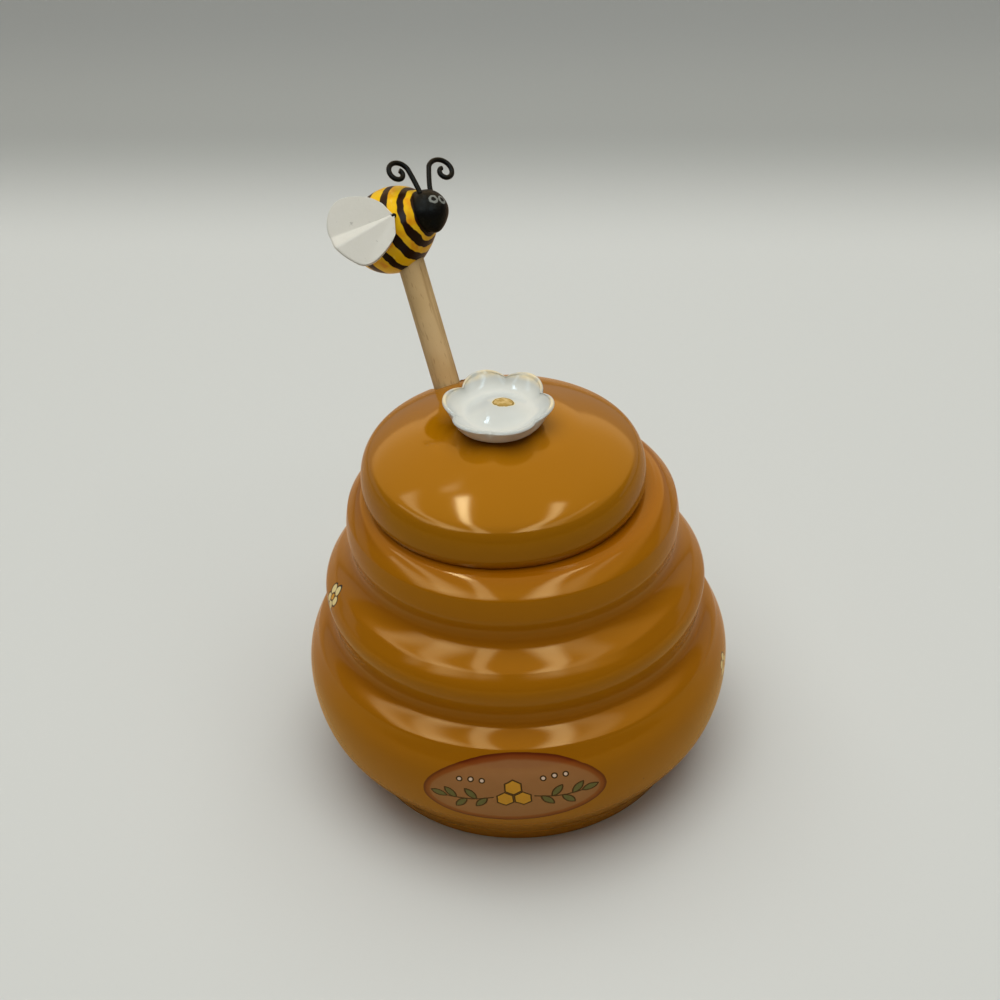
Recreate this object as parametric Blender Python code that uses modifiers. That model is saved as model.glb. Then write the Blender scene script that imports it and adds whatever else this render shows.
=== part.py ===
"""Beehive honey jar: a glazed pot with a lift-off lid and a dipper with a bee on it.

Metres, +Z up, the front of the jar towards -Y.
The origin is the centre of the jar's underside.
"""
import math

import bmesh
import bpy
from mathutils import Matrix, Vector

# Jar, outside: the radius of each swell and groove, and its rise above the one below
FOOT_RADIUS = 0.0415
HEEL_RADIUS = 0.0437
HEEL_RISE = 0.0046
LOWER_BELLY_RADIUS = 0.0517
LOWER_BELLY_RISE = 0.0132
BELLY_RADIUS = 0.0531
BELLY_RISE = 0.0132
LOWER_GROOVE_RADIUS = 0.0460
LOWER_GROOVE_RISE = 0.0131
MIDDLE_RING_RADIUS = 0.0470
MIDDLE_RING_RISE = 0.0094
UPPER_GROOVE_RADIUS = 0.0398
UPPER_GROOVE_RISE = 0.0103
TOP_RING_RADIUS = 0.0405
TOP_RING_RISE = 0.0061
NECK_RADIUS = 0.0368
NECK_RISE = 0.0082
SHOULDER_WIDTH = 0.0022
SHOULDER_RISE = 0.0008

# Jar, walls: the mouth lies inside the neck by the rim's width
JAR_WALL = 0.0045
JAR_FLOOR = 0.0050
RIM_WIDTH = 0.0077
RIM_THICKNESS = 0.0042
RIM_ROUND = 0.0006

# Lid: it sits on the rim, a little off centre in the play of its flange
LID_SHIFT = -0.0017
LID_INSET = 0.0035
LID_SWELL = 0.0009
LID_SWELL_RISE = 0.0027
LID_SHOULDER_INSET = 0.0017
LID_SHOULDER_RISE = 0.0070
LID_FLAT_RADIUS = 0.0105
LID_CROWN_RADIUS = 0.0190
LID_CROWN_RISE = 0.0062
LID_TOP_RISE = 0.0015
LID_WALL = 0.0038
FLANGE_PLAY = 0.0022
FLANGE_THICKNESS = 0.0034
FLANGE_DEPTH = 0.0040
SHELF_THICKNESS = 0.0036
SLOT_PLAY = 0.0009

# Flower knob: a dish of petals on a short foot, its rim leaning a little to the front
KNOB_SHIFT = -0.0005
KNOB_FOOT_RADIUS = 0.0092
KNOB_FOOT_HEIGHT = 0.0012
KNOB_WAIST_RADIUS = 0.0111
KNOB_RADIUS = 0.0132
KNOB_HEIGHT = 0.0060
KNOB_LEAN = math.radians(3.5)
KNOB_WALL = 0.0018
KNOB_FLOOR = 0.0036
KNOB_WELL_RADIUS = 0.0076
KNOB_BOSS_RADIUS = 0.0030
KNOB_BOSS_HEIGHT = 0.0013
PETALS = 6
PETAL_TURN = math.radians(19)
PETAL_NOTCH_SHARE = 0.14
PETAL_DROP_SHARE = 0.28
PETAL_CURVE_SHARE = 0.8

# Dipper: a grooved head and a bee on the two ends of a dowel
DOWEL_DIAMETER = 0.0067
DIPPER_LEAN = math.radians(29.6)
DIPPER_TURN = math.radians(28)
DIPPER_HEAD_RADIUS = 0.0098
DIPPER_HEAD_LENGTH = 0.0280
DIPPER_END_SHARE = 0.72
DIPPER_GROOVES = 6
DIPPER_GROOVE_DEPTH = 0.0022
DIPPER_GROOVE_SHARE = 0.45
SOCKET_DEPTH = 0.0100
DOWEL_CHAMFER = 0.0005
BEE_DISTANCE = 0.1345
BEE_SETBACK = 0.0021

# Bee: +X is forward, +Z is its back, seen from the middle of its body
BEE_LENGTH = 0.0236
BEE_WIDTH = 0.0208
BEE_DEPTH = 0.0210
BEE_TAIL_SHARE = 0.03
BEE_SOCKET_DEPTH = 0.0065
BEE_HEADING = math.radians(-51)
BEE_PITCH = math.radians(17)
BEE_ROLL = math.radians(-14)
BEE_HEAD_LENGTH = 0.0098
BEE_HEAD_WIDTH = 0.0098
BEE_HEAD_DEPTH = 0.0112
BEE_HEAD_FORWARD = 0.0111
BEE_HEAD_RISE = -0.0015
CHIN_SHARE = 0.35

# Wings: one fan on each flank, folded along its middle, steeply above the crest
WING_LENGTH = 0.0167
WING_SPREAD = math.radians(62)
WING_FLARE = math.radians(18)
WING_RISES = {"left": math.radians(22), "right": math.radians(3)}
WING_RIDGE = 0.0018
WING_FOLD_SHARE = 0.17
WING_THICKNESS = 0.0011
WING_ROOT_FORWARD = 0.0070
WING_ROOT_RISE = -0.0004
WING_ROOT_STAND = 0.0009
WING_ROOT_SHARE = 0.14

# Feelers: a wire stem that ends in one flat curl
FEELER_DIAMETER = 0.0012
FEELER_FORWARD = 0.0014
FEELER_SPACING = 0.0046
FEELER_HOLE_DEPTH = 0.0016
CURL_OUTS = {"left": 0.0061, "right": 0.0034}
CURL_RISE = 0.0106
CURL_RADIUS = 0.0034
CURL_END_RADIUS = 0.0009
CURL_START = math.radians(150)
CURL_TURN = math.radians(365)
FEELER_TURNS = {"left": math.radians(65), "right": math.radians(-115)}

# The bee's left flank lies towards its own +Y
SIDES = {"left": 1, "right": -1}

# Clearance between touching pieces, and how far a cut runs past a face
GAP = 0.0003
OVERRUN = 0.0020

# Facets
JAR_SEGMENTS = 40
KNOB_SEGMENTS_PER_PETAL = 8
SMALL_SEGMENTS = 24
BODY_RINGS = 16
HEAD_RINGS = 14
WING_STEPS = 6
OUTER_STEPS = 4
INNER_STEPS = 2
STEM_STEPS = 3
SLOT_STEPS = 3
CURL_POINTS = 11
SMOOTH_ANGLE = math.radians(40)
MERGE = 0.00001

HEEL_HEIGHT = HEEL_RISE
LOWER_BELLY_HEIGHT = HEEL_HEIGHT + LOWER_BELLY_RISE
BELLY_HEIGHT = LOWER_BELLY_HEIGHT + BELLY_RISE
LOWER_GROOVE_HEIGHT = BELLY_HEIGHT + LOWER_GROOVE_RISE
MIDDLE_RING_HEIGHT = LOWER_GROOVE_HEIGHT + MIDDLE_RING_RISE
UPPER_GROOVE_HEIGHT = MIDDLE_RING_HEIGHT + UPPER_GROOVE_RISE
TOP_RING_HEIGHT = UPPER_GROOVE_HEIGHT + TOP_RING_RISE
NECK_HEIGHT = TOP_RING_HEIGHT + NECK_RISE
SEAT_HEIGHT = NECK_HEIGHT + SHOULDER_RISE
MOUTH_RADIUS = NECK_RADIUS - RIM_WIDTH

LID_BOTTOM = SEAT_HEIGHT + GAP
LID_RADIUS = NECK_RADIUS - LID_INSET
LID_SWELL_HEIGHT = LID_BOTTOM + LID_SWELL_RISE
LID_SHOULDER_HEIGHT = LID_SWELL_HEIGHT + LID_SHOULDER_RISE
LID_CROWN_HEIGHT = LID_SHOULDER_HEIGHT + LID_CROWN_RISE
LID_TOP = LID_CROWN_HEIGHT + LID_TOP_RISE
FLANGE_OUTER = MOUTH_RADIUS - FLANGE_PLAY
FLANGE_INNER = FLANGE_OUTER - FLANGE_THICKNESS
KNOB_BOTTOM = LID_TOP + GAP

DOWEL_RADIUS = DOWEL_DIAMETER / 2
SLANTED_RADIUS = DOWEL_RADIUS / math.cos(DIPPER_LEAN)
DIPPER_END_RADIUS = DIPPER_HEAD_RADIUS * DIPPER_END_SHARE
DIPPER_FOOT_HEIGHT = JAR_FLOOR + GAP + DIPPER_END_RADIUS * math.sin(DIPPER_LEAN)
DIPPER_AT_SEAT = MOUTH_RADIUS - GAP - SLANTED_RADIUS
DIPPER_FOOT_OUT = DIPPER_AT_SEAT - (SEAT_HEIGHT - DIPPER_FOOT_HEIGHT) * math.tan(DIPPER_LEAN)


def collection(name):
    """A new collection in the scene."""
    made = bpy.data.collections.new(name)
    bpy.context.scene.collection.children.link(made)
    return made


def finish(name, colour, roughness, metallic=0.0):
    """A plain material of one colour."""
    material = bpy.data.materials.new(name)
    material.use_nodes = True
    shader = material.node_tree.nodes["Principled BSDF"]
    shader.inputs["Base Color"].default_value = (*colour, 1.0)
    shader.inputs["Roughness"].default_value = roughness
    shader.inputs["Metallic"].default_value = metallic
    return material


def new_object(name, data, group, material=None, parent=None, matrix=None):
    """An object in its collection, with its material, its carrier and its place there."""
    made = bpy.data.objects.new(name, data)
    group.objects.link(made)
    if material:
        data.materials.append(material)
    made.parent = parent
    made.matrix_local = matrix or Matrix()
    return made


def as_cutter(cutter):
    """Marks an object as a cutter that is never part of the model."""
    cutter.hide_render = True
    cutter.display_type = "WIRE"
    return cutter


def cut(target, cutter):
    """Takes the cutter away from the target."""
    modifier = target.modifiers.new(cutter.name, "BOOLEAN")
    modifier.operation = "DIFFERENCE"
    modifier.object = cutter


def mesh_from(bm, name):
    """A smooth shaded mesh of a finished bmesh."""
    mesh = bpy.data.meshes.new(name)
    bm.to_mesh(mesh)
    bm.free()
    mesh.shade_smooth()
    mesh.set_sharp_from_angle(angle=SMOOTH_ANGLE)
    return mesh


def smooth_curve(points, steps):
    """Points on a smooth curve through the given points, steps to each stretch."""
    points = [Vector(point) for point in points]
    spans = [math.sqrt((b - a).length) for a, b in zip(points, points[1:])]
    slopes = [(b - a) / span for a, b, span in zip(points, points[1:], spans)]
    tangents = [slopes[0]]
    for before, after, span, next_span in zip(slopes, slopes[1:], spans, spans[1:]):
        tangents.append((before * next_span + after * span) / (span + next_span))
    tangents.append(slopes[-1])
    curve = []
    for index, span in enumerate(spans):
        for step in range(steps):
            t = step / steps
            start = (2 * t**3 - 3 * t**2 + 1) * points[index]
            end = (3 * t**2 - 2 * t**3) * points[index + 1]
            leave = (t**3 - 2 * t**2 + t) * span * tangents[index]
            arrive = (t**3 - t**2) * span * tangents[index + 1]
            curve.append(start + end + leave + arrive)
    curve.append(points[-1])
    return [tuple(point) for point in curve]


def turned(name, profile, group, material, segments, parent=None, matrix=None):
    """A piece turned round Z from a profile that runs down its outer side."""
    mesh = bpy.data.meshes.new(name)
    edges = [(index, index + 1) for index in range(len(profile) - 1)]
    mesh.from_pydata([(radius, 0.0, height) for radius, height in profile], edges, [])
    made = new_object(name, mesh, group, material, parent, matrix)
    screw = made.modifiers.new("turn", "SCREW")
    screw.axis = "Z"
    screw.steps = segments
    screw.render_steps = segments
    screw.use_merge_vertices = True
    screw.merge_threshold = MERGE
    screw.use_smooth_shade = True
    return made


def baked(made):
    """Gives an object the mesh that its modifiers make."""
    evaluated = made.evaluated_get(bpy.context.evaluated_depsgraph_get())
    mesh = bpy.data.meshes.new_from_object(evaluated)
    made.modifiers.clear()
    made.data = mesh
    return made


def rod(name, radius, bottom, top, group, material=None, parent=None, matrix=None):
    """A round rod along Z from bottom to top."""
    bm = bmesh.new()
    middle = Matrix.Translation((0, 0, (bottom + top) / 2))
    bmesh.ops.create_cone(
        bm, cap_ends=True, segments=SMALL_SEGMENTS, radius1=radius, radius2=radius,
        depth=top - bottom, matrix=middle,
    )
    return new_object(name, mesh_from(bm, name), group, material, parent, matrix)


def egg(name, size, group, rings, shape=None, grow=0.0, material=None, parent=None, matrix=None):
    """A ball stretched to a size, its points moved by a shape, and grown by a margin."""
    bm = bmesh.new()
    bmesh.ops.create_uvsphere(bm, u_segments=SMALL_SEGMENTS, v_segments=rings, radius=1.0)
    for vert in bm.verts:
        unit = vert.co.copy()
        if shape:
            unit = shape(unit)
        vert.co = Vector(c * (width / 2 + grow) for c, width in zip(unit, size))
    return new_object(name, mesh_from(bm, name), group, material, parent, matrix)


def jar_profile():
    """The jar's section, from the inside of its floor over the rim to the underside."""
    inside = smooth_curve(
        [
            (FOOT_RADIUS - JAR_WALL, JAR_FLOOR),
            (HEEL_RADIUS - JAR_WALL, HEEL_HEIGHT + JAR_WALL),
            (LOWER_BELLY_RADIUS - JAR_WALL, LOWER_BELLY_HEIGHT),
            (BELLY_RADIUS - JAR_WALL, BELLY_HEIGHT),
            (LOWER_GROOVE_RADIUS - JAR_WALL, LOWER_GROOVE_HEIGHT),
            (MIDDLE_RING_RADIUS - JAR_WALL, MIDDLE_RING_HEIGHT),
            (UPPER_GROOVE_RADIUS - JAR_WALL, UPPER_GROOVE_HEIGHT),
            (TOP_RING_RADIUS - JAR_WALL, TOP_RING_HEIGHT),
            (MOUTH_RADIUS, SEAT_HEIGHT - RIM_THICKNESS),
        ],
        INNER_STEPS,
    )
    rim = [
        (MOUTH_RADIUS, SEAT_HEIGHT - RIM_ROUND),
        (MOUTH_RADIUS + RIM_ROUND, SEAT_HEIGHT),
    ]
    outside = smooth_curve(
        [
            (NECK_RADIUS - SHOULDER_WIDTH, SEAT_HEIGHT),
            (NECK_RADIUS, NECK_HEIGHT),
            (TOP_RING_RADIUS, TOP_RING_HEIGHT),
            (UPPER_GROOVE_RADIUS, UPPER_GROOVE_HEIGHT),
            (MIDDLE_RING_RADIUS, MIDDLE_RING_HEIGHT),
            (LOWER_GROOVE_RADIUS, LOWER_GROOVE_HEIGHT),
            (BELLY_RADIUS, BELLY_HEIGHT),
            (LOWER_BELLY_RADIUS, LOWER_BELLY_HEIGHT),
            (HEEL_RADIUS, HEEL_HEIGHT),
            (FOOT_RADIUS, 0.0),
        ],
        OUTER_STEPS,
    )
    return [(0.0, JAR_FLOOR), *inside, *rim, *outside, (0.0, 0.0)]


def lid_profile():
    """The lid's section, from its flat crown down the outside and up the hollow."""
    outside = smooth_curve(
        [
            (LID_FLAT_RADIUS, LID_TOP),
            (LID_CROWN_RADIUS, LID_CROWN_HEIGHT),
            (LID_RADIUS + LID_SWELL - LID_SHOULDER_INSET, LID_SHOULDER_HEIGHT),
            (LID_RADIUS + LID_SWELL, LID_SWELL_HEIGHT),
            (LID_RADIUS, LID_BOTTOM),
        ],
        OUTER_STEPS,
    )
    flange = [
        (FLANGE_OUTER, LID_BOTTOM),
        (FLANGE_OUTER, LID_BOTTOM - FLANGE_DEPTH),
        (FLANGE_INNER, LID_BOTTOM - FLANGE_DEPTH),
        (FLANGE_INNER, LID_BOTTOM + SHELF_THICKNESS),
    ]
    hollow = smooth_curve(
        [
            (LID_RADIUS - LID_SHOULDER_INSET - LID_WALL, LID_SHOULDER_HEIGHT - LID_WALL),
            (LID_CROWN_RADIUS, LID_CROWN_HEIGHT - LID_WALL),
            (0.0, LID_TOP - LID_WALL),
        ],
        INNER_STEPS,
    )
    return [(0.0, LID_TOP), *outside, *flange, *hollow]


def knob_profile():
    """The knob's section, from its middle boss over the rim to its foot."""
    rim = KNOB_BOTTOM + KNOB_HEIGHT
    floor = KNOB_BOTTOM + KNOB_FLOOR
    boss = floor + KNOB_BOSS_HEIGHT
    inside = smooth_curve(
        [
            (KNOB_BOSS_RADIUS, boss),
            (KNOB_WELL_RADIUS, floor),
            (KNOB_RADIUS - KNOB_WALL, rim - KNOB_WALL / 2),
        ],
        OUTER_STEPS,
    )
    lip = [
        (KNOB_RADIUS - KNOB_WALL / 2, rim),
        (KNOB_RADIUS, rim - KNOB_WALL / 2),
    ]
    outside = smooth_curve(
        [
            ((KNOB_WAIST_RADIUS + KNOB_RADIUS + KNOB_WALL) / 2, floor),
            (KNOB_WAIST_RADIUS, KNOB_BOTTOM + KNOB_FOOT_HEIGHT),
        ],
        OUTER_STEPS,
    )
    foot = [
        (KNOB_FOOT_RADIUS, KNOB_BOTTOM),
        (0.0, KNOB_BOTTOM),
    ]
    return [(0.0, boss), *inside, *lip, *outside, *foot]


def dipper_head_profile():
    """The dipper head's section, from its socket down its ridges and grooves."""
    def barrel(height):
        """Radius of the barrel that the ridges reach at a height above its end."""
        off_middle = 2 * height / DIPPER_HEAD_LENGTH - 1
        return DIPPER_HEAD_RADIUS - (DIPPER_HEAD_RADIUS - DIPPER_END_RADIUS) * off_middle**2

    pitch = DIPPER_HEAD_LENGTH / (DIPPER_GROOVES + DIPPER_GROOVE_SHARE)
    groove = pitch * DIPPER_GROOVE_SHARE
    ridge = pitch - groove
    socket_radius = DOWEL_RADIUS + GAP
    socket_floor = DIPPER_HEAD_LENGTH - SOCKET_DEPTH
    ridge_bottom = DIPPER_HEAD_LENGTH - groove
    profile = [
        (0.0, socket_floor),
        (socket_radius, socket_floor),
        (socket_radius, DIPPER_HEAD_LENGTH),
        (barrel(DIPPER_HEAD_LENGTH), DIPPER_HEAD_LENGTH),
        (barrel(ridge_bottom), ridge_bottom),
    ]
    for _ in range(DIPPER_GROOVES):
        ridge_top = ridge_bottom - ridge
        profile.append((barrel(ridge_bottom) - DIPPER_GROOVE_DEPTH, ridge_bottom))
        profile.append((barrel(ridge_top) - DIPPER_GROOVE_DEPTH, ridge_top))
        ridge_bottom = ridge_top - groove
        profile.append((barrel(ridge_top), ridge_top))
        profile.append((barrel(ridge_bottom), ridge_bottom))
    profile.append((0.0, 0.0))
    return profile


def build_jar(group):
    """The pot itself, one casting."""
    glaze = finish("amber_glaze", (0.44, 0.17, 0.008), 0.12)
    turned("jar_body", jar_profile(), group, glaze, JAR_SEGMENTS)


def build_lid(group, cutters, carrier):
    """The lid, with a slot in its edge that lets the dipper out."""
    glaze = finish("amber_lid_glaze", (0.44, 0.17, 0.008), 0.12)
    lid = turned("lid", lid_profile(), group, glaze, JAR_SEGMENTS, carrier,
                 Matrix.Translation((0, 0, -SEAT_HEIGHT)))
    width = DOWEL_DIAMETER + 2 * SLOT_PLAY
    bottom = LID_BOTTOM - FLANGE_DEPTH - OVERRUN
    top = LID_TOP + OVERRUN
    inner = FLANGE_INNER - GAP
    outer = LID_RADIUS + LID_SWELL + abs(LID_SHIFT) + OVERRUN
    size = Matrix.Diagonal((width, outer - inner, top - bottom, 1))
    middle = Matrix.Translation((0, (inner + outer) / 2, (bottom + top) / 2))
    bm = bmesh.new()
    bmesh.ops.create_cube(bm, size=1.0, matrix=middle @ size)
    upright = [edge for edge in bm.edges if edge.verts[0].co.xy == edge.verts[1].co.xy]
    bmesh.ops.bevel(bm, geom=upright, offset=SLOT_PLAY, segments=SLOT_STEPS, profile=0.5,
                      affect="EDGES")
    slot = new_object("slot_cutter", mesh_from(bm, "slot"), cutters, None, None,
                      Matrix.Rotation(DIPPER_TURN, 4, "Z"))
    cut(lid, as_cutter(slot))


def build_knob(group, carrier):
    """The flower: a turned dish whose wall is drawn into petals."""
    glaze = finish("white_glaze", (0.80, 0.80, 0.76), 0.10)
    spot = Matrix.Translation((KNOB_SHIFT, 0, -SEAT_HEIGHT))
    place = spot @ Matrix.Rotation(PETAL_TURN, 4, "Z")
    segments = PETALS * KNOB_SEGMENTS_PER_PETAL
    knob = baked(turned("flower_knob", knob_profile(), group, glaze, segments, carrier, place))
    for vert in knob.data.vertices:
        radius = vert.co.xy.length
        angle = math.atan2(vert.co.y, vert.co.x)
        height = vert.co.z - KNOB_BOTTOM
        reach = max(0.0, (radius - KNOB_WELL_RADIUS) / (KNOB_RADIUS - KNOB_WELL_RADIUS))
        notch = reach * (1 - abs(math.sin(PETALS * angle / 2)) ** PETAL_CURVE_SHARE)
        back = radius * math.sin(angle + PETAL_TURN)
        vert.co.x -= vert.co.x * PETAL_NOTCH_SHARE * notch
        vert.co.y -= vert.co.y * PETAL_NOTCH_SHARE * notch
        vert.co.z -= max(0.0, height - KNOB_FLOOR) * PETAL_DROP_SHARE * notch
        vert.co.z += back * math.tan(KNOB_LEAN) * height / KNOB_HEIGHT


def build_dipper(group, carrier):
    """The dowel and the grooved head that it is glued into."""
    beech = finish("beech", (0.52, 0.35, 0.19), 0.6)
    turned("dipper_head", dipper_head_profile(), group, beech, SMALL_SEGMENTS, carrier)
    bottom = DIPPER_HEAD_LENGTH - SOCKET_DEPTH + GAP
    top = BEE_DISTANCE - BEE_DEPTH / 2 + BEE_SOCKET_DEPTH - GAP
    pale_beech = finish("pale_beech", (0.56, 0.38, 0.21), 0.6)
    handle = rod("dipper_handle", DOWEL_RADIUS, bottom, top, group, pale_beech, carrier)
    chamfer = handle.modifiers.new("chamfer", "BEVEL")
    chamfer.width = DOWEL_CHAMFER
    chamfer.limit_method = "ANGLE"
    chamfer.angle_limit = SMOOTH_ANGLE


def tail_taper(unit):
    """Draws the bee's body in towards its tail."""
    slim = 1 - BEE_TAIL_SHARE * (1 - unit.x) / 2
    return Vector((unit.x, unit.y * slim, unit.z * slim))


def chin_taper(unit):
    """Draws the bee's head in towards its chin."""
    slim = 1 - CHIN_SHARE * max(0.0, -unit.z) ** 2
    return Vector((unit.x * slim, unit.y * slim, unit.z))


def build_bee_body(group, cutters, carrier, place):
    """The striped body, with a socket for the dowel and a hollow for the head."""
    size = (BEE_LENGTH, BEE_WIDTH, BEE_DEPTH)
    yellow = finish("bee_yellow", (0.75, 0.42, 0.01), 0.25)
    body = egg("bee_body", size, group, BODY_RINGS, tail_taper, 0.0, yellow, carrier, place)
    socket = rod("bee_socket_cutter", DOWEL_RADIUS + GAP, BEE_DISTANCE - BEE_DEPTH,
                 BEE_DISTANCE - BEE_DEPTH / 2 + BEE_SOCKET_DEPTH, cutters, None, carrier)
    cut(body, as_cutter(socket))
    return body


def build_bee_head(group, cutters, carrier, place, body):
    """The black head, sunk a little into the front of the body."""
    size = (BEE_HEAD_LENGTH, BEE_HEAD_WIDTH, BEE_HEAD_DEPTH)
    spot = place @ Matrix.Translation((BEE_HEAD_FORWARD, 0, BEE_HEAD_RISE))
    black = finish("bee_black", (0.008, 0.008, 0.008), 0.35)
    head = egg("bee_head", size, group, HEAD_RINGS, chin_taper, 0.0, black, carrier, spot)
    hollow = egg("head_cutter", size, cutters, HEAD_RINGS, chin_taper, GAP, None, carrier, spot)
    cut(body, as_cutter(hollow))
    return head, spot


def wing_mesh(name, side, rise):
    """A fan with a fold along its middle, open until it is given a thickness."""
    bm = bmesh.new()
    bmesh.ops.create_grid(bm, x_segments=WING_STEPS, y_segments=2 * WING_STEPS, size=1.0)
    flare = Matrix.Rotation(side * (math.pi - WING_FLARE), 4, "Z")
    lift = Matrix.Rotation(-rise, 4, "Y")
    for vert in bm.verts:
        out = WING_ROOT_SHARE + (1 - WING_ROOT_SHARE) * (vert.co.x + 1) / 2
        aside = vert.co.y
        reach = WING_LENGTH * math.sqrt(1 - (1 - WING_ROOT_SHARE) * aside**2) * out
        angle = aside * WING_SPREAD
        slope = 1 - aside / WING_FOLD_SHARE if aside > 0 else 1 + aside
        ridge = WING_RIDGE * out * max(0.0, slope)
        flat = Vector((reach * math.cos(angle), -side * ridge, reach * math.sin(angle)))
        vert.co = flare @ (lift @ flat)
    return mesh_from(bm, name)


def build_wings(group, cutters, carrier, place):
    """One wing on each flank, its root trimmed to the body's curve."""
    size = (BEE_LENGTH, BEE_WIDTH, BEE_DEPTH)
    trim = egg("wing_root_cutter", size, cutters, BODY_RINGS, tail_taper, GAP, None, carrier, place)
    as_cutter(trim)
    girth = BEE_WIDTH * math.sqrt(1 - (2 * WING_ROOT_FORWARD / BEE_LENGTH) ** 2)
    for side, sign in SIDES.items():
        name = "bee_wing_" + side
        white = finish(name + "_white", (0.78, 0.78, 0.75), 0.35)
        root = Vector((WING_ROOT_FORWARD, sign * (girth / 2 + WING_ROOT_STAND), WING_ROOT_RISE))
        mesh = wing_mesh(name, sign, WING_RISES[side])
        wing = new_object(name, mesh, group, white, carrier, place @ Matrix.Translation(root))
        thickness = wing.modifiers.new("thickness", "SOLIDIFY")
        thickness.thickness = WING_THICKNESS
        thickness.offset = 0.0
        cut(wing, trim)


def feeler_path(turn, curl_out):
    """The feeler's middle line, from its hole in the head to the end of its curl."""
    foot = BEE_HEAD_DEPTH / 2 - FEELER_HOLE_DEPTH
    curl = []
    for index in range(CURL_POINTS):
        t = index / (CURL_POINTS - 1)
        radius = CURL_RADIUS + (CURL_END_RADIUS - CURL_RADIUS) * t
        angle = CURL_START - CURL_TURN * t
        curl.append((curl_out + radius * math.cos(angle), CURL_RISE + radius * math.sin(angle)))
    stem = smooth_curve([(0.0, foot), (0.0, BEE_HEAD_DEPTH / 2), curl[0], curl[1]], STEM_STEPS)
    flat = stem[:-1] + curl[1:]
    return [(out * math.cos(turn), out * math.sin(turn), height) for out, height in flat]


def build_feelers(group, cutters, carrier, spot, head):
    """The two black wires on the head, each in its own hole."""
    hole_radius = FEELER_DIAMETER / 2 + GAP
    hole_floor = BEE_HEAD_DEPTH / 2 - FEELER_HOLE_DEPTH - GAP
    for side, sign in SIDES.items():
        name = "antenna_" + side
        root = Vector((FEELER_FORWARD, sign * FEELER_SPACING / 2, 0))
        place = spot @ Matrix.Translation(root)
        curve = bpy.data.curves.new(name, "CURVE")
        curve.dimensions = "3D"
        curve.bevel_depth = FEELER_DIAMETER / 2
        curve.bevel_resolution = 2
        curve.use_fill_caps = True
        path = feeler_path(FEELER_TURNS[side], CURL_OUTS[side])
        spline = curve.splines.new("POLY")
        spline.points.add(len(path) - 1)
        for point, position in zip(spline.points, path):
            point.co = (*position, 1.0)
        wire = finish(name + "_black", (0.008, 0.008, 0.008), 0.4)
        new_object(name, curve, group, wire, carrier, place)
        hole = rod(name + "_hole_cutter", hole_radius, hole_floor, BEE_HEAD_DEPTH, cutters,
                   None, carrier, place)
        cut(head, as_cutter(hole))


def main():
    """Builds the whole jar."""
    for old in list(bpy.data.objects):
        bpy.data.objects.remove(old, do_unlink=True)
    group = collection("beehive_honey_jar")
    cutters = collection("cutters")
    lid_place = Matrix.Translation((LID_SHIFT, 0, SEAT_HEIGHT))
    lid_carrier = new_object("lid_axis", None, group, matrix=lid_place)
    dipper_place = (
        Matrix.Rotation(DIPPER_TURN, 4, "Z")
        @ Matrix.Translation((0, DIPPER_FOOT_OUT, DIPPER_FOOT_HEIGHT))
        @ Matrix.Rotation(-DIPPER_LEAN, 4, "X")
    )
    dipper_carrier = new_object("dipper_axis", None, group, matrix=dipper_place)
    bee_place = (
        Matrix.Translation((0, 0, BEE_DISTANCE))
        @ Matrix.Rotation(BEE_HEADING, 4, "Z")
        @ Matrix.Rotation(-BEE_PITCH, 4, "Y")
        @ Matrix.Rotation(BEE_ROLL, 4, "X")
        @ Matrix.Translation((-BEE_SETBACK, 0, 0))
    )
    build_jar(group)
    build_lid(group, cutters, lid_carrier)
    build_knob(group, lid_carrier)
    build_dipper(group, dipper_carrier)
    body = build_bee_body(group, cutters, dipper_carrier, bee_place)
    head, spot = build_bee_head(group, cutters, dipper_carrier, bee_place, body)
    build_wings(group, cutters, dipper_carrier, bee_place)
    build_feelers(group, cutters, dipper_carrier, spot, head)


main()
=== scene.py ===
"""Looks of the beehive honey jar: amber and white glaze, beech, and the painted bee.

Metres, +Z up, the front of the jar towards -Y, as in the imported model.
"""
import math

import bmesh
import bpy
from mathutils import Matrix, Vector


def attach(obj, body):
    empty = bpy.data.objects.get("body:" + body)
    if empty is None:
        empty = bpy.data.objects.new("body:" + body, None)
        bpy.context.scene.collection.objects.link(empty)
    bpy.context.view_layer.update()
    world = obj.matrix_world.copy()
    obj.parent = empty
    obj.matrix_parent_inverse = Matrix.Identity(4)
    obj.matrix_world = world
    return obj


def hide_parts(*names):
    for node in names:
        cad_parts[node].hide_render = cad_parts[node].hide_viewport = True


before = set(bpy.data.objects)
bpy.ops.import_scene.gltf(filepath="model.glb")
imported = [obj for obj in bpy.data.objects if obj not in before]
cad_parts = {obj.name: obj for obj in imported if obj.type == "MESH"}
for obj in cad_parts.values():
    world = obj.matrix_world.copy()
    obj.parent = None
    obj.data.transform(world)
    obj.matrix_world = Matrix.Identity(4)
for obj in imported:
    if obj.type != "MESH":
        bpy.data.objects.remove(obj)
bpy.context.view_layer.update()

# Pot, outside: the radius and the height of each swell and groove
POT_RINGS = {
    "foot": (0.0415, 0.0),
    "heel": (0.0437, 0.0046),
    "lower_belly": (0.0517, 0.0178),
    "belly": (0.0531, 0.0310),
    "belly_shoulder": (0.0501, 0.0388),
    "lower_groove": (0.0460, 0.0441),
    "middle_ring": (0.0470, 0.0535),
    "upper_groove": (0.0398, 0.0638),
    "top_ring": (0.0405, 0.0699),
    "top_shoulder": (0.0396, 0.0748),
    "neck": (0.0368, 0.0781),
}
INNER_RINGS = ("lower_belly", "belly", "lower_groove", "middle_ring", "upper_groove", "top_ring")
SHOULDER_WIDTH = 0.0022
SEAT_HEIGHT = 0.0789
POT_WALL = 0.0045
POT_FLOOR = 0.0050
MOUTH_RADIUS = 0.0291
RIM_THICKNESS = 0.0042
RIM_ROUND = 0.0009
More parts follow.
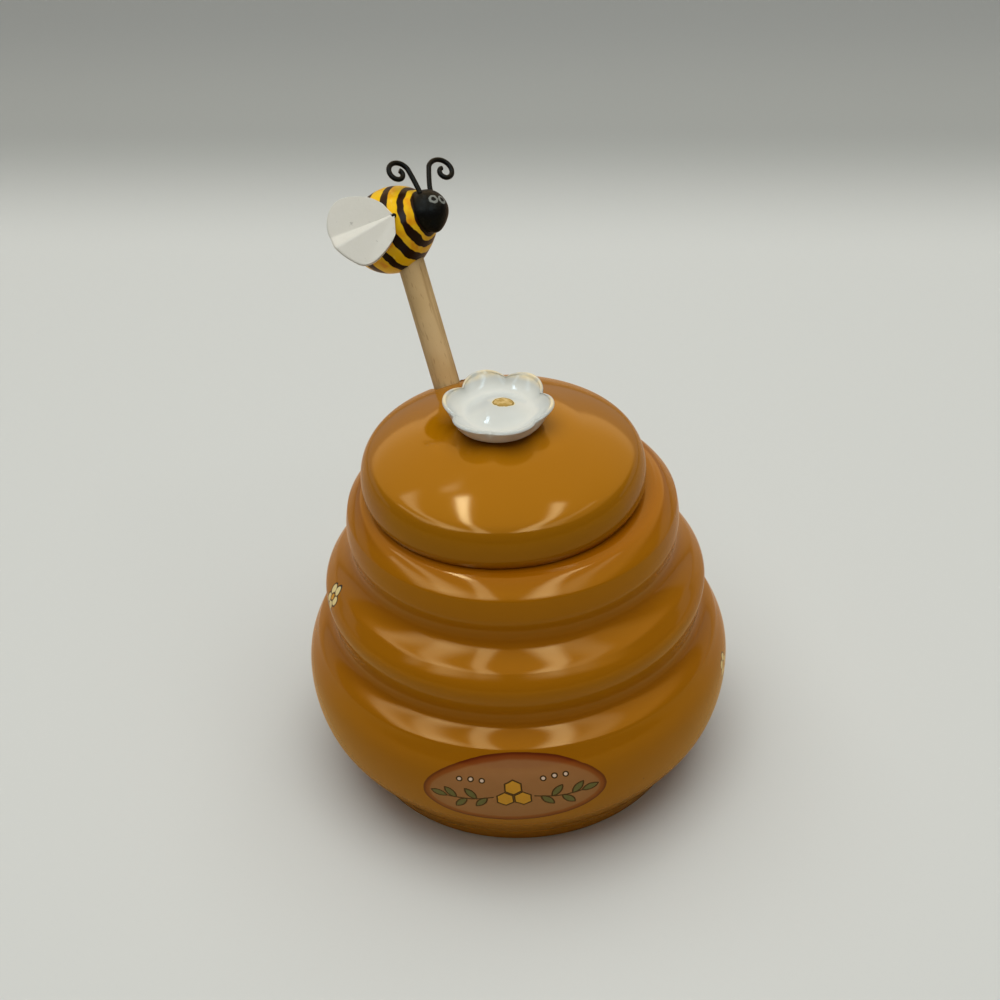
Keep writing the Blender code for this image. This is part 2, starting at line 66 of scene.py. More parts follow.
FOOT_ROUND = 0.0007
FOOT_RING_WIDTH = 0.0034
FOOT_RECESS = 0.0008

# Faint edges that throwing left on the swells, where the highlights end
POT_EDGES = (0.0387, 0.0580, 0.0747)
LID_EDGES = (0.0898,)
EDGE_PROUD = 0.00020
EDGE_REACH = 0.0022

# Lid
LID_SHIFT = -0.0017
LID_BOTTOM = 0.0792
LID_RADIUS = 0.0333
LID_SWELL = 0.0009
LID_SWELL_HEIGHT = 0.0819
LID_SHOULDER_INSET = 0.0017
LID_SHOULDER_HEIGHT = 0.0889
LID_CROWN_RADIUS = 0.0190
LID_CROWN_HEIGHT = 0.0951
LID_FLAT_RADIUS = 0.0105
LID_TOP = 0.0966
LID_WALL = 0.0038
FLANGE_OUTER = 0.0269
FLANGE_INNER = 0.0235
FLANGE_DEPTH = 0.0040
FLANGE_ROUND = 0.0009
SHELF_THICKNESS = 0.0036
SLOT_WIDTH = 0.0085
SLOT_PLAY = 0.0009
SLOT_ROUND = 0.0007

# Flower on the lid
KNOB_SHIFT = -0.0005
KNOB_BOTTOM = 0.0969
KNOB_FOOT_RADIUS = 0.0091
KNOB_FOOT_HEIGHT = 0.0012
KNOB_WAIST_RADIUS = 0.0105
KNOB_RADIUS = 0.0132
KNOB_HEIGHT = 0.0060
KNOB_LEAN = math.radians(3.5)
KNOB_FLOOR = 0.0032
KNOB_WELL_RADIUS = 0.0076
KNOB_BOSS_RADIUS = 0.0032
KNOB_BOSS_HEIGHT = 0.0019
PETALS = 6
PETAL_TURN = math.radians(19)
KNOB_RIM = 0.0011
KNOB_FLOOR_RADIUS = 0.0094
PETAL_NOTCH_SHARE = 0.20
PETAL_DROP_SHARE = 0.46
PETAL_CURVE_SHARE = 0.75
NOTCH_ROUND_SHARE = 0.002

# Dipper
DOWEL_RADIUS = 0.00335
DOWEL_CHAMFER = 0.0005
DIPPER_LEAN = math.radians(29.6)
DIPPER_TURN = math.radians(28)
DIPPER_FOOT_OUT = -0.0149
DIPPER_FOOT_HEIGHT = 0.0088
DIPPER_HEAD_RADIUS = 0.0098
DIPPER_HEAD_LENGTH = 0.0280
DIPPER_END_RADIUS = 0.0071
DIPPER_GROOVES = 6
DIPPER_GROOVE_DEPTH = 0.0022
DIPPER_GROOVE_SHARE = 0.45
SOCKET_DEPTH = 0.0100
RIDGE_ROUND = 0.0004
GLUE_LINE = 0.00005

# Bee: +X is forward, +Z is its back, seen from the middle of its body
BEE_DISTANCE = 0.1345
BEE_SETBACK = 0.0021
BEE_SIZE = Vector((0.0236, 0.0208, 0.0210))
BEE_TAIL_SHARE = 0.03
BEE_THROAT_SHARE = 0.27
BEE_SOCKET_DEPTH = 0.0065
BEE_HEADING = math.radians(-51)
BEE_PITCH = math.radians(17)
BEE_ROLL = math.radians(-14)
HEAD_SIZE = Vector((0.0098, 0.0098, 0.0112))
HEAD_PLACE = Vector((0.0111, 0.0, -0.0015))
CHIN_SHARE = 0.35

# Wings
WING_LENGTHS = {"left": 0.0160, "right": 0.0173}
WING_SPREADS = {
    "left": (math.radians(38), math.radians(78)),
    "right": (math.radians(65), math.radians(78)),
}
WING_FLARE = math.radians(18)
WING_RISES = {"left": math.radians(20), "right": math.radians(-6)}
WING_RIDGE = 0.0040
WING_FOLD_SHARE = 0.17
WING_THICKNESS = 0.0011
WING_ROOT = Vector((0.0070, 0.0, -0.0010))
WING_ROOT_STAND = 0.0009
WING_POINT_SHARE = 0.03
# Its outline: the way from the lower edge at -1 over the fold at 0 to the upper edge at 1, and
# the share of its length that it reaches there
WING_OUTLINE = (
    (-1.0, 0.26), (-0.8, 0.46), (-0.5, 0.80), (-0.25, 0.86), (0.0, 0.91),
    (0.3, 1.0), (0.58, 0.92), (0.8, 0.58), (1.0, 0.24),
)
WING_PIN_RADIUS = 0.0006

# Feelers
FEELER_RADIUS = 0.00063
FEELER_FORWARD = 0.0014
FEELER_SPACING = 0.0054
FEELER_HOLE_DEPTH = 0.0016
# Each curl: its middle aside and up, its first radius, where it starts, how far it turns, and
# how fast it tightens
CURLS = {
    "left": (0.0061, 0.0100, 0.0040, math.radians(150), math.radians(415), 1.5),
    "right": (0.0036, 0.0103, 0.0032, math.radians(167), math.radians(387), 1.0),
}
CURL_END_RADIUS = 0.0009
FEELER_TURNS = {"left": math.radians(65), "right": math.radians(-115)}

SIDES = {"left": 1, "right": -1}

# Smoothness of the finished surfaces
TURNED_STEPS = 240
FLOWER_STEPS = 240
SMALL_STEPS = 72
PIN_STEPS = (24, 16)
WING_STEPS = (28, 56)
OUTER_STEPS = 22
INNER_STEPS = 6
ARC_STEPS = 5
CURL_STEPS = 96
MERGE = 0.000002
SMOOTH_ANGLE = math.radians(38)

# Camera: the jar's axis at AIM_HEIGHT shows at AIM_PIXEL of the picture
PICTURE = 1000
FOCAL_PIXELS = 1700
SENSOR = 36
AIM_HEIGHT = 0.0535
AIM_PIXEL = (514.62, 565.67)
AIM_DEPTH = 0.42449
CAMERA_PITCH = math.radians(36.237)
CAMERA_ROLL = math.radians(-2.757)


def smooth_curve(points, steps):
    """Points on a smooth curve through the given points, steps to each stretch."""
    points = [Vector(point) for point in points]
    spans = [math.sqrt((b - a).length) for a, b in zip(points, points[1:])]
    slopes = [(b - a) / span for a, b, span in zip(points, points[1:], spans)]
    tangents = [slopes[0]]
    for before, after, span, next_span in zip(slopes, slopes[1:], spans, spans[1:]):
        tangents.append((before * next_span + after * span) / (span + next_span))
    tangents.append(slopes[-1])
    curve = []
    for index, span in enumerate(spans):
        for step in range(steps):
            t = step / steps
            start = (2 * t**3 - 3 * t**2 + 1) * points[index]
            end = (3 * t**2 - 2 * t**3) * points[index + 1]
            leave = (t**3 - 2 * t**2 + t) * span * tangents[index]
            arrive = (t**3 - t**2) * span * tangents[index + 1]
            curve.append(start + end + leave + arrive)
    curve.append(points[-1])
    return [tuple(point) for point in curve]


def edged(outline, heights):
    """The outline with a faint proud edge at each of the heights."""
    proud = []
    for radius, height in outline:
        nearness = [max(0.0, 1 - abs(height - edge) / EDGE_REACH) ** 2 for edge in heights]
        proud.append((radius + EDGE_PROUD * sum(nearness), height))
    return proud


def arc(middle, radius, start, end):
    """Points along an arc of a section, its angles in degrees from +X."""
    angles = [start + (end - start) * step / ARC_STEPS for step in range(ARC_STEPS + 1)]
    return [
        (middle[0] + radius * math.cos(math.radians(angle)),
         middle[1] + radius * math.sin(math.radians(angle)))
        for angle in angles
    ]


def turned(profile, steps, start=0.0):
    """A closed surface turned round Z from the points of its section."""
    bm = bmesh.new()
    out = Vector((math.cos(start), math.sin(start), 0.0))
    verts = [bm.verts.new(out * radius + Vector((0, 0, height))) for radius, height in profile]
    edges = [bm.edges.new(pair) for pair in zip(verts, verts[1:])]
    bmesh.ops.spin(
        bm, geom=verts + edges, cent=(0, 0, 0), axis=(0, 0, 1), angle=math.tau,
        steps=steps, use_merge=True,
    )
    bmesh.ops.remove_doubles(bm, verts=bm.verts, dist=MERGE)
    bmesh.ops.recalc_face_normals(bm, faces=bm.faces)
    return bm


def round_edges(bm, edges, width, steps=3):
    """Rounds edges, in as many steps."""
    bmesh.ops.bevel(bm, geom=edges, offset=width, segments=steps, profile=0.5, material=-1,
                    affect="EDGES", clamp_overlap=True)


def rod(radius, bottom, top, steps, chamfer=0.0):
    """A round rod along Z."""
    bm = bmesh.new()
    bmesh.ops.create_cone(
        bm, cap_ends=True, segments=steps, radius1=radius, radius2=radius, depth=top - bottom,
        matrix=Matrix.Translation((0, 0, (bottom + top) / 2)),
    )
    if chamfer:
        rims = [edge for edge in bm.edges if edge.verts[0].co.z == edge.verts[1].co.z]
        round_edges(bm, rims, chamfer)
    return bm


def egg(size, shape, grow=0.0):
    """A ball stretched to a size, its points moved by a shape, and grown by a margin."""
    bm = bmesh.new()
    bmesh.ops.create_uvsphere(bm, u_segments=SMALL_STEPS, v_segments=SMALL_STEPS, radius=1.0)
    for vert in bm.verts:
        unit = shape(vert.co)
        vert.co = Vector(c * (width / 2 + grow) for c, width in zip(unit, size))
    return bm


def tail_taper(unit):
    """Draws the bee's body in towards its tail and under its throat."""
    slim = 1 - BEE_TAIL_SHARE * (1 - unit.x) / 2
    throat = 1 - BEE_THROAT_SHARE * max(0.0, unit.x) * max(0.0, -unit.z)
    return Vector((unit.x, unit.y * slim * throat, unit.z * slim * throat))


def chin_taper(unit):
    """Draws the bee's head in towards its chin."""
    slim = 1 - CHIN_SHARE * max(0.0, -unit.z) ** 2
    return Vector((unit.x * slim, unit.y * slim, unit.z))


def new_object(name, bm, place=None):
    """An object at the origin with its place in its smooth shaded mesh."""
    mesh = bpy.data.meshes.new(name)
    bm.transform(place or Matrix())
    bm.to_mesh(mesh)
    bm.free()
    mesh.shade_smooth()
    mesh.set_sharp_from_angle(angle=SMOOTH_ANGLE)
    made = bpy.data.objects.new(name, mesh)
    bpy.context.scene.collection.objects.link(made)
    return made


def baked(made):
    """Gives an object the mesh that its modifiers make."""
    evaluated = made.evaluated_get(bpy.context.evaluated_depsgraph_get())
    mesh = bpy.data.meshes.new_from_object(evaluated)
    made.modifiers.clear()
    made.data = mesh
    mesh.shade_smooth()
    mesh.set_sharp_from_angle(angle=SMOOTH_ANGLE)
    return made


def cut(target, cutter):
    """Takes the cutter away from the target for good."""
    modifier = target.modifiers.new(cutter.name, "BOOLEAN")
    modifier.operation = "DIFFERENCE"
    modifier.object = cutter
    baked(target)
    bpy.data.objects.remove(cutter)
    return target


def finished(made, material, body, replaced=None):
    """Gives a piece its finish, its body and the plain solid that it stands for."""
    made.data.materials.clear()
    made.data.materials.append(material)
    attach(made, body)
    if replaced:
        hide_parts(replaced)
    return made


# Materials


def node(kind, inputs, output=0, tree=None, **settings):
    """Adds a node, fills or links its inputs and returns an output. Its tree is that of its links."""
    socket = bpy.types.NodeSocket
    links = {name: value for name, value in inputs.items() if isinstance(value, socket)}
    tree = tree or next(iter(links.values())).id_data
    made = tree.nodes.new("ShaderNode" + kind)
    for setting, value in settings.items():
        setattr(made, setting, value)
    for name, value in inputs.items():
        if name in links:
            tree.links.new(value, made.inputs[name])
        else:
            made.inputs[name].default_value = value
    return made.outputs[output]


def maths(operation, *values):
    """A sum on numbers."""
    return node("Math", dict(enumerate(values)), operation=operation)


def times(first, second):
    """One number times another."""
    return maths("MULTIPLY", first, second)


def plus(first, second):
    """One number plus another."""
    return maths("ADD", first, second)


def minus(first, second):
    """One number minus another."""
    return maths("SUBTRACT", first, second)


def vectors(operation, *values):
    """A sum on vectors, which gives a number for a length or a dot product."""
    output = 1 if operation in ("LENGTH", "DOT_PRODUCT", "DISTANCE") else 0
    return node("VectorMath", dict(enumerate(values)), output, operation=operation)


def axes(place):
    """The X, Y and Z of a place."""
    return node("SeparateXYZ", {0: place}).node.outputs


def step_between(value, low, high):
    """Rises smoothly from 0 at low to 1 at high."""
    return node("MapRange", {0: value, 1: low, 2: high}, interpolation_type="SMOOTHSTEP")


def mixed(share, first, second):
    """The first colour where the share is 0, the second where it is 1."""
    return node("Mix", {0: share, 6: first, 7: second}, 2, data_type="RGBA")


def shaded(share, colour, tint):
    """A colour multiplied by a tint, as far as the share says."""
    inputs = {0: share, 6: colour, 7: tint}
    return node("Mix", inputs, 2, data_type="RGBA", blend_type="MULTIPLY")


def ramp(value, stops):
    """A colour for each value, in straight steps between the stops."""
    made = node("ValToRGB", {0: value}).node
    elements = made.color_ramp.elements
    while len(elements) < len(stops):
        elements.new(1.0)
    for element, (position, colour) in zip(elements, sorted(stops)):
        element.position = position
        element.color = colour
    return made.outputs[0]


def noise(place, scale, detail=2.0, roughness=0.5, output=0):
    """Cloudy noise, its scale in clouds per metre."""
    inputs = {"Vector": place, "Scale": scale, "Detail": detail, "Roughness": roughness}
    return node("TexNoise", inputs, output)


def bumps(height, distance, strength=1.0, normal=None):
    """A surface raised by a height of 0 to 1 times a distance."""
    inputs = {"Height": height, "Distance": distance, "Strength": strength}
    if normal:
        inputs["Normal"] = normal
    return node("Bump", inputs)


def rgb(red, green, blue):
    """A colour as it shows on screen, 0 to 255, in the linear values that nodes take."""
    def linear(value):
        share = value / 255
        return share / 12.92 if share <= 0.04045 else ((share + 0.055) / 1.055) ** 2.4
    return (linear(red), linear(green), linear(blue), 1.0)


def new_material(name):
    """A material, its shader and its object coordinates."""
    material = bpy.data.materials.new(name)
    material.use_nodes = True
    shader = material.node_tree.nodes["Principled BSDF"]
    return material, shader, node("TexCoord", {}, 3, material.node_tree)


def settle(shader, **links):
    """Sets or links the shader's sockets, whose names have underscores for spaces here."""
    for name, value in links.items():
        socket = shader.inputs[name.replace("_", " ")]
        if isinstance(value, bpy.types.NodeSocket):
            shader.id_data.links.new(value, socket)
        else:
            socket.default_value = value


# Painted marks on the pot: distances in metres on a plane wrapped round its wall


def wrapped(place, azimuth, height, radius):
    """A plane round the pot: across and up from a point at an azimuth from the front."""
    aside, back, level = axes(place)
    angle = maths("ARCTAN2", aside, times(back, -1.0))
    across = times(minus(angle, azimuth), radius)
    return node("CombineXYZ", {0: across, 1: minus(level, height)})


def hand_drawn(plane, scale, amount):
    """The plane with the small wobble of a brush."""
    cloud = noise(plane, scale, output=1)
    centred = vectors("SUBTRACT", cloud, (0.5, 0.5, 0.5))
    wobble = vectors("MULTIPLY", centred, (amount, amount, 0.0))
    return vectors("ADD", plane, wobble)


def turned_to(plane, middle, angle):
    """The plane seen from a mark's own middle, with its X along the angle."""
    inputs = {"Vector": plane, "Location": (*middle, 0.0), "Rotation": (0.0, 0.0, angle)}
    return node("Mapping", inputs, vector_type="TEXTURE")


def leaf(plane, start, angle, length, width):
    """Distance to a pointed leaf from its stalk."""
    half, side = length / 2, width / 2
    bend = (half**2 + side**2) / (2 * side)
    middle = (start[0] + half * math.cos(angle), start[1] + half * math.sin(angle))
    folded = vectors("ABSOLUTE", turned_to(plane, middle, angle))
    from_bend = vectors("ADD", folded, (0.0, bend - side, 0.0))
    return minus(vectors("LENGTH", from_bend), bend)


def berry(plane, middle, radius):
    """Distance to a round berry."""
    return minus(vectors("DISTANCE", plane, (*middle, 0.0)), radius)


def cell(plane, middle, apothem):
    """Distance to a honeycomb cell with upright sides."""
    folded = vectors("ABSOLUTE", turned_to(plane, middle, 0.0))
    slanted = vectors("DOT_PRODUCT", folded, (0.5, math.sqrt(0.75), 0.0))
    upright = vectors("DOT_PRODUCT", folded, (1.0, 0.0, 0.0))
    return minus(maths("MAXIMUM", slanted, upright), apothem)


def stem(plane, middle, radius, start, end):
    """Distance to an arc of a thin stem between two distances across."""
    around = minus(vectors("DISTANCE", plane, (*middle, 0.0)), radius)
    across = vectors("DOT_PRODUCT", plane, (1.0, 0.0, 0.0))
    before = minus(start, across)
    after = minus(across, end)
    ends = maths("MAXIMUM", before, after)
    return maths("MAXIMUM", maths("ABSOLUTE", around), ends)


def blossom(plane, middle, petals, reach, radius):
    """Distance to a ring of round petals."""
    local = turned_to(plane, middle, 0.0)
    aside, up, _ = axes(local)
    folded = maths("PINGPONG", maths("ARCTAN2", up, aside), math.pi / petals)
    length = vectors("LENGTH", local)
    along = times(length, maths("COSINE", folded))
    aside = times(length, maths("SINE", folded))
    spot = node("CombineXYZ", {0: along, 1: aside})
    return berry(spot, (reach, 0.0), radius)


def nearest(distances):
    """The distance to the nearest of several marks."""
    nearest_yet = distances[0]
    for distance in distances[1:]:
        nearest_yet = maths("MINIMUM", nearest_yet, distance)
    return nearest_yet


PAINT_EDGE = 0.00008
INK = rgb(44, 27, 14)
INK_HALF_WIDTH = 0.00019


def filled(below, distance, colour):
    """Paint inside a mark."""
    return mixed(step_between(distance, PAINT_EDGE, -PAINT_EDGE), below, colour)


def inked(below, distance, half_width=INK_HALF_WIDTH, colour=INK):
    """An ink line along a mark's edge."""
    off_line = minus(maths("ABSOLUTE", distance), half_width)
    return filled(below, off_line, colour)


def drawn(below, distance, colour):
    """A painted mark with its ink line."""
    return inked(filled(below, distance, colour), distance)


# Oval label: a honeycomb between two leafy sprigs
LABEL_AZIMUTH = math.radians(-3.2)
LABEL_HEIGHT = 0.0280
LABEL_RADIUS = 0.0531
LABEL_HALF_WIDTH = 0.0223
LABEL_HALF_HEIGHT = 0.0106
LABEL_TURN = math.radians(2.5)
LABEL_DROOP = 4.0
LABEL_BORDER = 0.0012
CELL_APOTHEM = 0.0021
CELL_GAP = 0.0002
SPRIG_BEND = (0.0105, 0.0220)
SPRIG_RADIUS = 0.0238
SPRIG_START = 0.0050
SPRIG_END = 0.0162
SPRIG_STALKS = (0.0064, 0.0089, 0.0114, 0.0139)
SPRIG_LEAF = (0.0042, 0.0018)
SPRIG_BERRIES = ((0.0072, 0.0040), (0.0099, 0.0044), (0.0126, 0.0045))
BERRY_RADIUS = 0.00062

LEAF_GREEN = rgb(92, 98, 58)
CELL_YELLOW = rgb(206, 146, 44)
BERRY_CREAM = rgb(226, 200, 178)


def oval(plane, half_width, half_height):
    """Distance to an oval, good near its edge."""
    along = vectors("DIVIDE", plane, (half_width, half_height, 1.0))
    across = vectors("DIVIDE", plane, (half_width**2, half_height**2, 1.0))
    size = vectors("LENGTH", along)
    steepness = vectors("LENGTH", across)
    from_edge = times(size, minus(size, 1.0))
    return maths("DIVIDE", from_edge, steepness)


def sprig_point(across):
    """The point of the sprig's stem at a distance across."""
    drop = math.sqrt(SPRIG_RADIUS**2 - (across - SPRIG_BEND[0]) ** 2)
    return (across, SPRIG_BEND[1] - drop)


def oval_label(place, glaze):
    """The oval with its border, its cells and its mirrored sprigs over the glaze."""
    flat = wrapped(place, LABEL_AZIMUTH, LABEL_HEIGHT, LABEL_RADIUS)
    level = turned_to(hand_drawn(flat, 260.0, 0.0004), (0.0, 0.0), LABEL_TURN)
    aside = vectors("DOT_PRODUCT", level, (1.0, 0.0, 0.0))
    droop = times(times(aside, aside), LABEL_DROOP)
    plane = vectors("ADD", level, node("CombineXYZ", {1: droop}))
    edge = oval(plane, LABEL_HALF_WIDTH, LABEL_HALF_HEIGHT)
    depth = maths("DIVIDE", times(edge, -1.0), 4 * LABEL_BORDER)
    wash = ramp(depth, [
        (0.0, rgb(96, 34, 8)), (0.07, rgb(104, 40, 10)), (0.17, rgb(134, 62, 20)),
        (0.30, rgb(142, 74, 30)), (0.42, rgb(156, 104, 62)), (1.0, rgb(160, 110, 68)),
    ])
    blotches = noise(flat, 420.0, 3.0)
    field = shaded(blotches, wash, (0.90, 0.87, 0.84, 1.0))
    apothem = CELL_APOTHEM
    rise = apothem * math.sqrt(3) / 2
    cells = nearest([
        cell(plane, (-apothem, -rise), apothem - CELL_GAP),
        cell(plane, (apothem, -rise), apothem - CELL_GAP),
        cell(plane, (0.0, rise), apothem - CELL_GAP),
    ])
    field = drawn(field, cells, CELL_YELLOW)
    off_middle = vectors("ABSOLUTE", plane)
    mirrored = node("CombineXYZ", {0: axes(off_middle)[0], 1: axes(plane)[1]})
    stalk = stem(mirrored, SPRIG_BEND, SPRIG_RADIUS, SPRIG_START, SPRIG_END)
    leaves = []
    for index, across in enumerate(SPRIG_STALKS):
        turn = math.radians(52 if index % 2 else -46)
        leaves.append(leaf(mirrored, sprig_point(across), turn, *SPRIG_LEAF))
    leaves.append(leaf(mirrored, sprig_point(SPRIG_END), math.radians(20), *SPRIG_LEAF))
    leafage = nearest(leaves)
    berries = nearest([berry(mirrored, spot, BERRY_RADIUS) for spot in SPRIG_BERRIES])
    field = filled(field, minus(stalk, INK_HALF_WIDTH), INK)
    field = drawn(field, leafage, LEAF_GREEN)
    field = drawn(field, berries, BERRY_CREAM)
    return filled(glaze, edge, field)


# Small blossoms on the pot's sides: azimuth, height, the radius there
SIDE_BLOSSOMS = {
    "left": (math.radians(-76), 0.0555, 0.0470),
    "right": (math.radians(74), 0.0305, 0.0531),
}
BLOSSOM_PETALS = 5
BLOSSOM_REACH = 0.0019
BLOSSOM_PETAL_RADIUS = 0.0012
BLOSSOM_HEART_RADIUS = 0.0009
BLOSSOM_LEAF = (0.0040, 0.0018)
PETAL_CREAM = rgb(232, 214, 150)


def side_blossom(place, glaze, azimuth, height, radius):
    """A cream blossom with two leaves."""
    flat = wrapped(place, azimuth, height, radius)
    plane = hand_drawn(flat, 300.0, 0.0005)
    leaves = nearest([
        leaf(plane, (0.0, -BLOSSOM_REACH), math.radians(turn), *BLOSSOM_LEAF)
        for turn in (-60, -130)
    ])
    petals = blossom(plane, (0.0, 0.0), BLOSSOM_PETALS, BLOSSOM_REACH, BLOSSOM_PETAL_RADIUS)
    heart = berry(plane, (0.0, 0.0), BLOSSOM_HEART_RADIUS)
    glaze = drawn(glaze, leaves, LEAF_GREEN)
    glaze = drawn(glaze, petals, PETAL_CREAM)
    return drawn(glaze, heart, CELL_YELLOW)


# Glazes, wood, paint and wire

BLACK = (0.0, 0.0, 0.0, 1.0)
WHITE = (1.0, 1.0, 1.0, 1.0)
POT_AMBER = (0.368, 0.131, 0.0010, 1.0)
LID_AMBER = (0.330, 0.125, 0.0009, 1.0)
AMBER_GLINT = (1.0, 0.80, 0.40, 1.0)
COOL_GLINT = (0.55, 0.80, 1.0, 1.0)
# Tint of the glaze gathered in the grooves, also used as painted shade at the seam under the lid
AMBER_POOL_AND_SEAM_SHADE = (0.83, 0.74, 0.70, 1.0)
PINHOLE_BROWN = rgb(60, 34, 12)
POOL_REACH = 0.05
# Share of the pot's height above which painted shade under the lid begins
LIP_SEAM_SHADE = 0.965
BARE_FOOT = (0.0005, 0.0002)
SEAT_SHADE = 0.0014
INSIDE_SHARES = (0.85, 0.80)
BARE_CLAY = rgb(214, 200, 178)


def amber_colour(place, amber):
    """Amber glaze with faint clouds and a few pinholes."""
    clouds = noise(place, 38.0, 3.0)
    colour = shaded(clouds, amber, (0.93, 0.90, 0.80, 1.0))
    cells = node("TexVoronoi", {"Vector": place, "Scale": 62.0})
    keep = noise(place, 31.0, 0.0)
    few = step_between(keep, 0.60, 0.62)
    hole = times(step_between(cells, 0.022, 0.010), few)
    return mixed(hole, colour, PINHOLE_BROWN)


def amber_surface(place):
    """The slight unevenness of a dipped glaze."""
    return bumps(noise(place, 34.0, 1.0), 0.00025)


def height_of(place):
    """The height above the table."""
    return vectors("DOT_PRODUCT", place, (0.0, 0.0, 1.0))


def outer_side(place, wall_radius):
    """1 on the outside of the pot's wall, 0 on its inside."""
    radius = vectors("LENGTH", vectors("MULTIPLY", place, (1.0, 1.0, 0.0)))
    return step_between(radius, *[wall_radius - share * POT_WALL for share in INSIDE_SHARES])


def pot_glaze():
    """Amber glaze that gathers darker in the grooves, with painted shade under the lid's seam, the
    painted marks and a bare foot.
    """
    material, shader, place = new_material("amber_pot_glaze")
    colour = amber_colour(place, POT_AMBER)
    height = height_of(place)
    share = maths("DIVIDE", height, SEAT_HEIGHT)
    pool_and_seam_shade_stops = []
    for name in ("lower_groove", "upper_groove"):
        middle = POT_RINGS[name][1] / SEAT_HEIGHT
        pool_and_seam_shade_stops += [(middle - POOL_REACH, BLACK), (middle, WHITE), (middle + POOL_REACH, BLACK)]
    # Painted shade: the top of the pot, under the lid's overhang, drawn darker
    pool_and_seam_shade_stops += [(LIP_SEAM_SHADE, BLACK), (1.0, WHITE)]
    pooled_and_seam_shade = ramp(share, pool_and_seam_shade_stops)
    colour = shaded(pooled_and_seam_shade, colour, AMBER_POOL_AND_SEAM_SHADE)
    marked = oval_label(place, colour)
    colour = mixed(outer_side(place, LABEL_RADIUS), colour, marked)
    for azimuth, middle, wall_radius in SIDE_BLOSSOMS.values():
        marked = side_blossom(place, colour, azimuth, middle, wall_radius)
        colour = mixed(outer_side(place, wall_radius), colour, marked)
    bare = step_between(height, *BARE_FOOT)
    colour = mixed(bare, colour, BARE_CLAY)
    roughness = plus(times(bare, 0.6), 0.10)
    settle(shader, Base_Color=colour, Roughness=roughness,
           Normal=amber_surface(place), Specular_Tint=AMBER_GLINT)
    return material


def lid_glaze():
    """Amber glaze, with painted shade making it a little darker round the seat."""
    material, shader, place = new_material("amber_lid_glaze")
    colour = amber_colour(place, LID_AMBER)
    # Painted shade: the lid's lower edge darkened where it sits on the pot
    low = step_between(height_of(place), LID_BOTTOM + SEAT_SHADE, LID_BOTTOM)
    colour = shaded(low, colour, AMBER_POOL_AND_SEAM_SHADE)
    settle(shader, Base_Color=colour, Roughness=0.10, Normal=amber_surface(place),
           Specular_Tint=AMBER_GLINT)
    return material


FLOWER_DOT = Vector((-0.0010, 0.0006, 0.1018))
FLOWER_DOT_STRETCH = (1.0, 1.35, 0.0)
FLOWER_DOT_RADIUS = 0.00235
FLOWER_HALO = 0.00035
FLOWER_DOT_LINE = 0.00018
THIN_RIM = 0.0010
# Heights below the rim over which painted shade greys the wall
SHADED_WALL = (0.0020, 0.0008)


def flower_glaze():
    """White glaze, warmer where it runs thin on the rim, with painted shade greying the wall below
    the rim and a dab of tan in the middle.
    """
    material, shader, place = new_material("white_flower_glaze")
    white = rgb(203, 206, 200)
    clouds = noise(place, 190.0, 3.0)
    colour = shaded(clouds, white, (0.965, 0.96, 0.94, 1.0))
    rim = KNOB_BOTTOM + KNOB_HEIGHT
    thin = step_between(height_of(place), rim - THIN_RIM, rim)
    # Painted shade: the wall below the rim a tenth darker, inside and out
    wall = step_between(height_of(place), *[rim - below for below in SHADED_WALL])
    colour = shaded(wall, colour, (0.90, 0.90, 0.90, 1.0))
    patchy = times(thin, step_between(noise(place, 240.0), 0.35, 0.65))
    colour = mixed(patchy, colour, rgb(226, 210, 170))
    seen = vectors("SUBTRACT", hand_drawn(place, 900.0, 0.0007), FLOWER_DOT)
    spread = vectors("LENGTH", vectors("MULTIPLY", seen, FLOWER_DOT_STRETCH))
    dot = minus(spread, FLOWER_DOT_RADIUS)
    halo = minus(dot, FLOWER_HALO)
    colour = filled(colour, halo, rgb(222, 208, 160))
    tan = mixed(step_between(noise(place, 700.0), 0.35, 0.65),
                rgb(204, 176, 116), rgb(166, 134, 66))
    colour = inked(filled(colour, dot, tan), dot, FLOWER_DOT_LINE, rgb(128, 102, 44))
    soft = bumps(noise(place, 170.0, 1.0), 0.00040)
    settle(shader, Base_Color=colour, Roughness=0.11, Normal=soft, Specular_IOR_Level=0.45,
           Specular_Tint=COOL_GLINT)
    return material


def dipper_place():
    """The dipper's own frame, +Z up its dowel."""
    return (
        Matrix.Rotation(DIPPER_TURN, 4, "Z")
        @ Matrix.Translation((0, DIPPER_FOOT_OUT, DIPPER_FOOT_HEIGHT))
        @ Matrix.Rotation(-DIPPER_LEAN, 4, "X")
    )


def bee_place():
    """The bee's own frame."""
    return (
        dipper_place()
        @ Matrix.Translation((0, 0, BEE_DISTANCE))
        @ Matrix.Rotation(BEE_HEADING, 4, "Z")
        @ Matrix.Rotation(-BEE_PITCH, 4, "Y")
        @ Matrix.Rotation(BEE_ROLL, 4, "X")
        @ Matrix.Translation((-BEE_SETBACK, 0, 0))
    )


def seen_from(place, frame_matrix, scale=(1.0, 1.0, 1.0)):
    """Object coordinates seen from a piece's own frame."""
    inputs = {
        "Vector": place, "Location": frame_matrix.to_translation(),
        "Rotation": frame_matrix.to_euler(), "Scale": scale,
    }
    return node("Mapping", inputs, vector_type="TEXTURE")


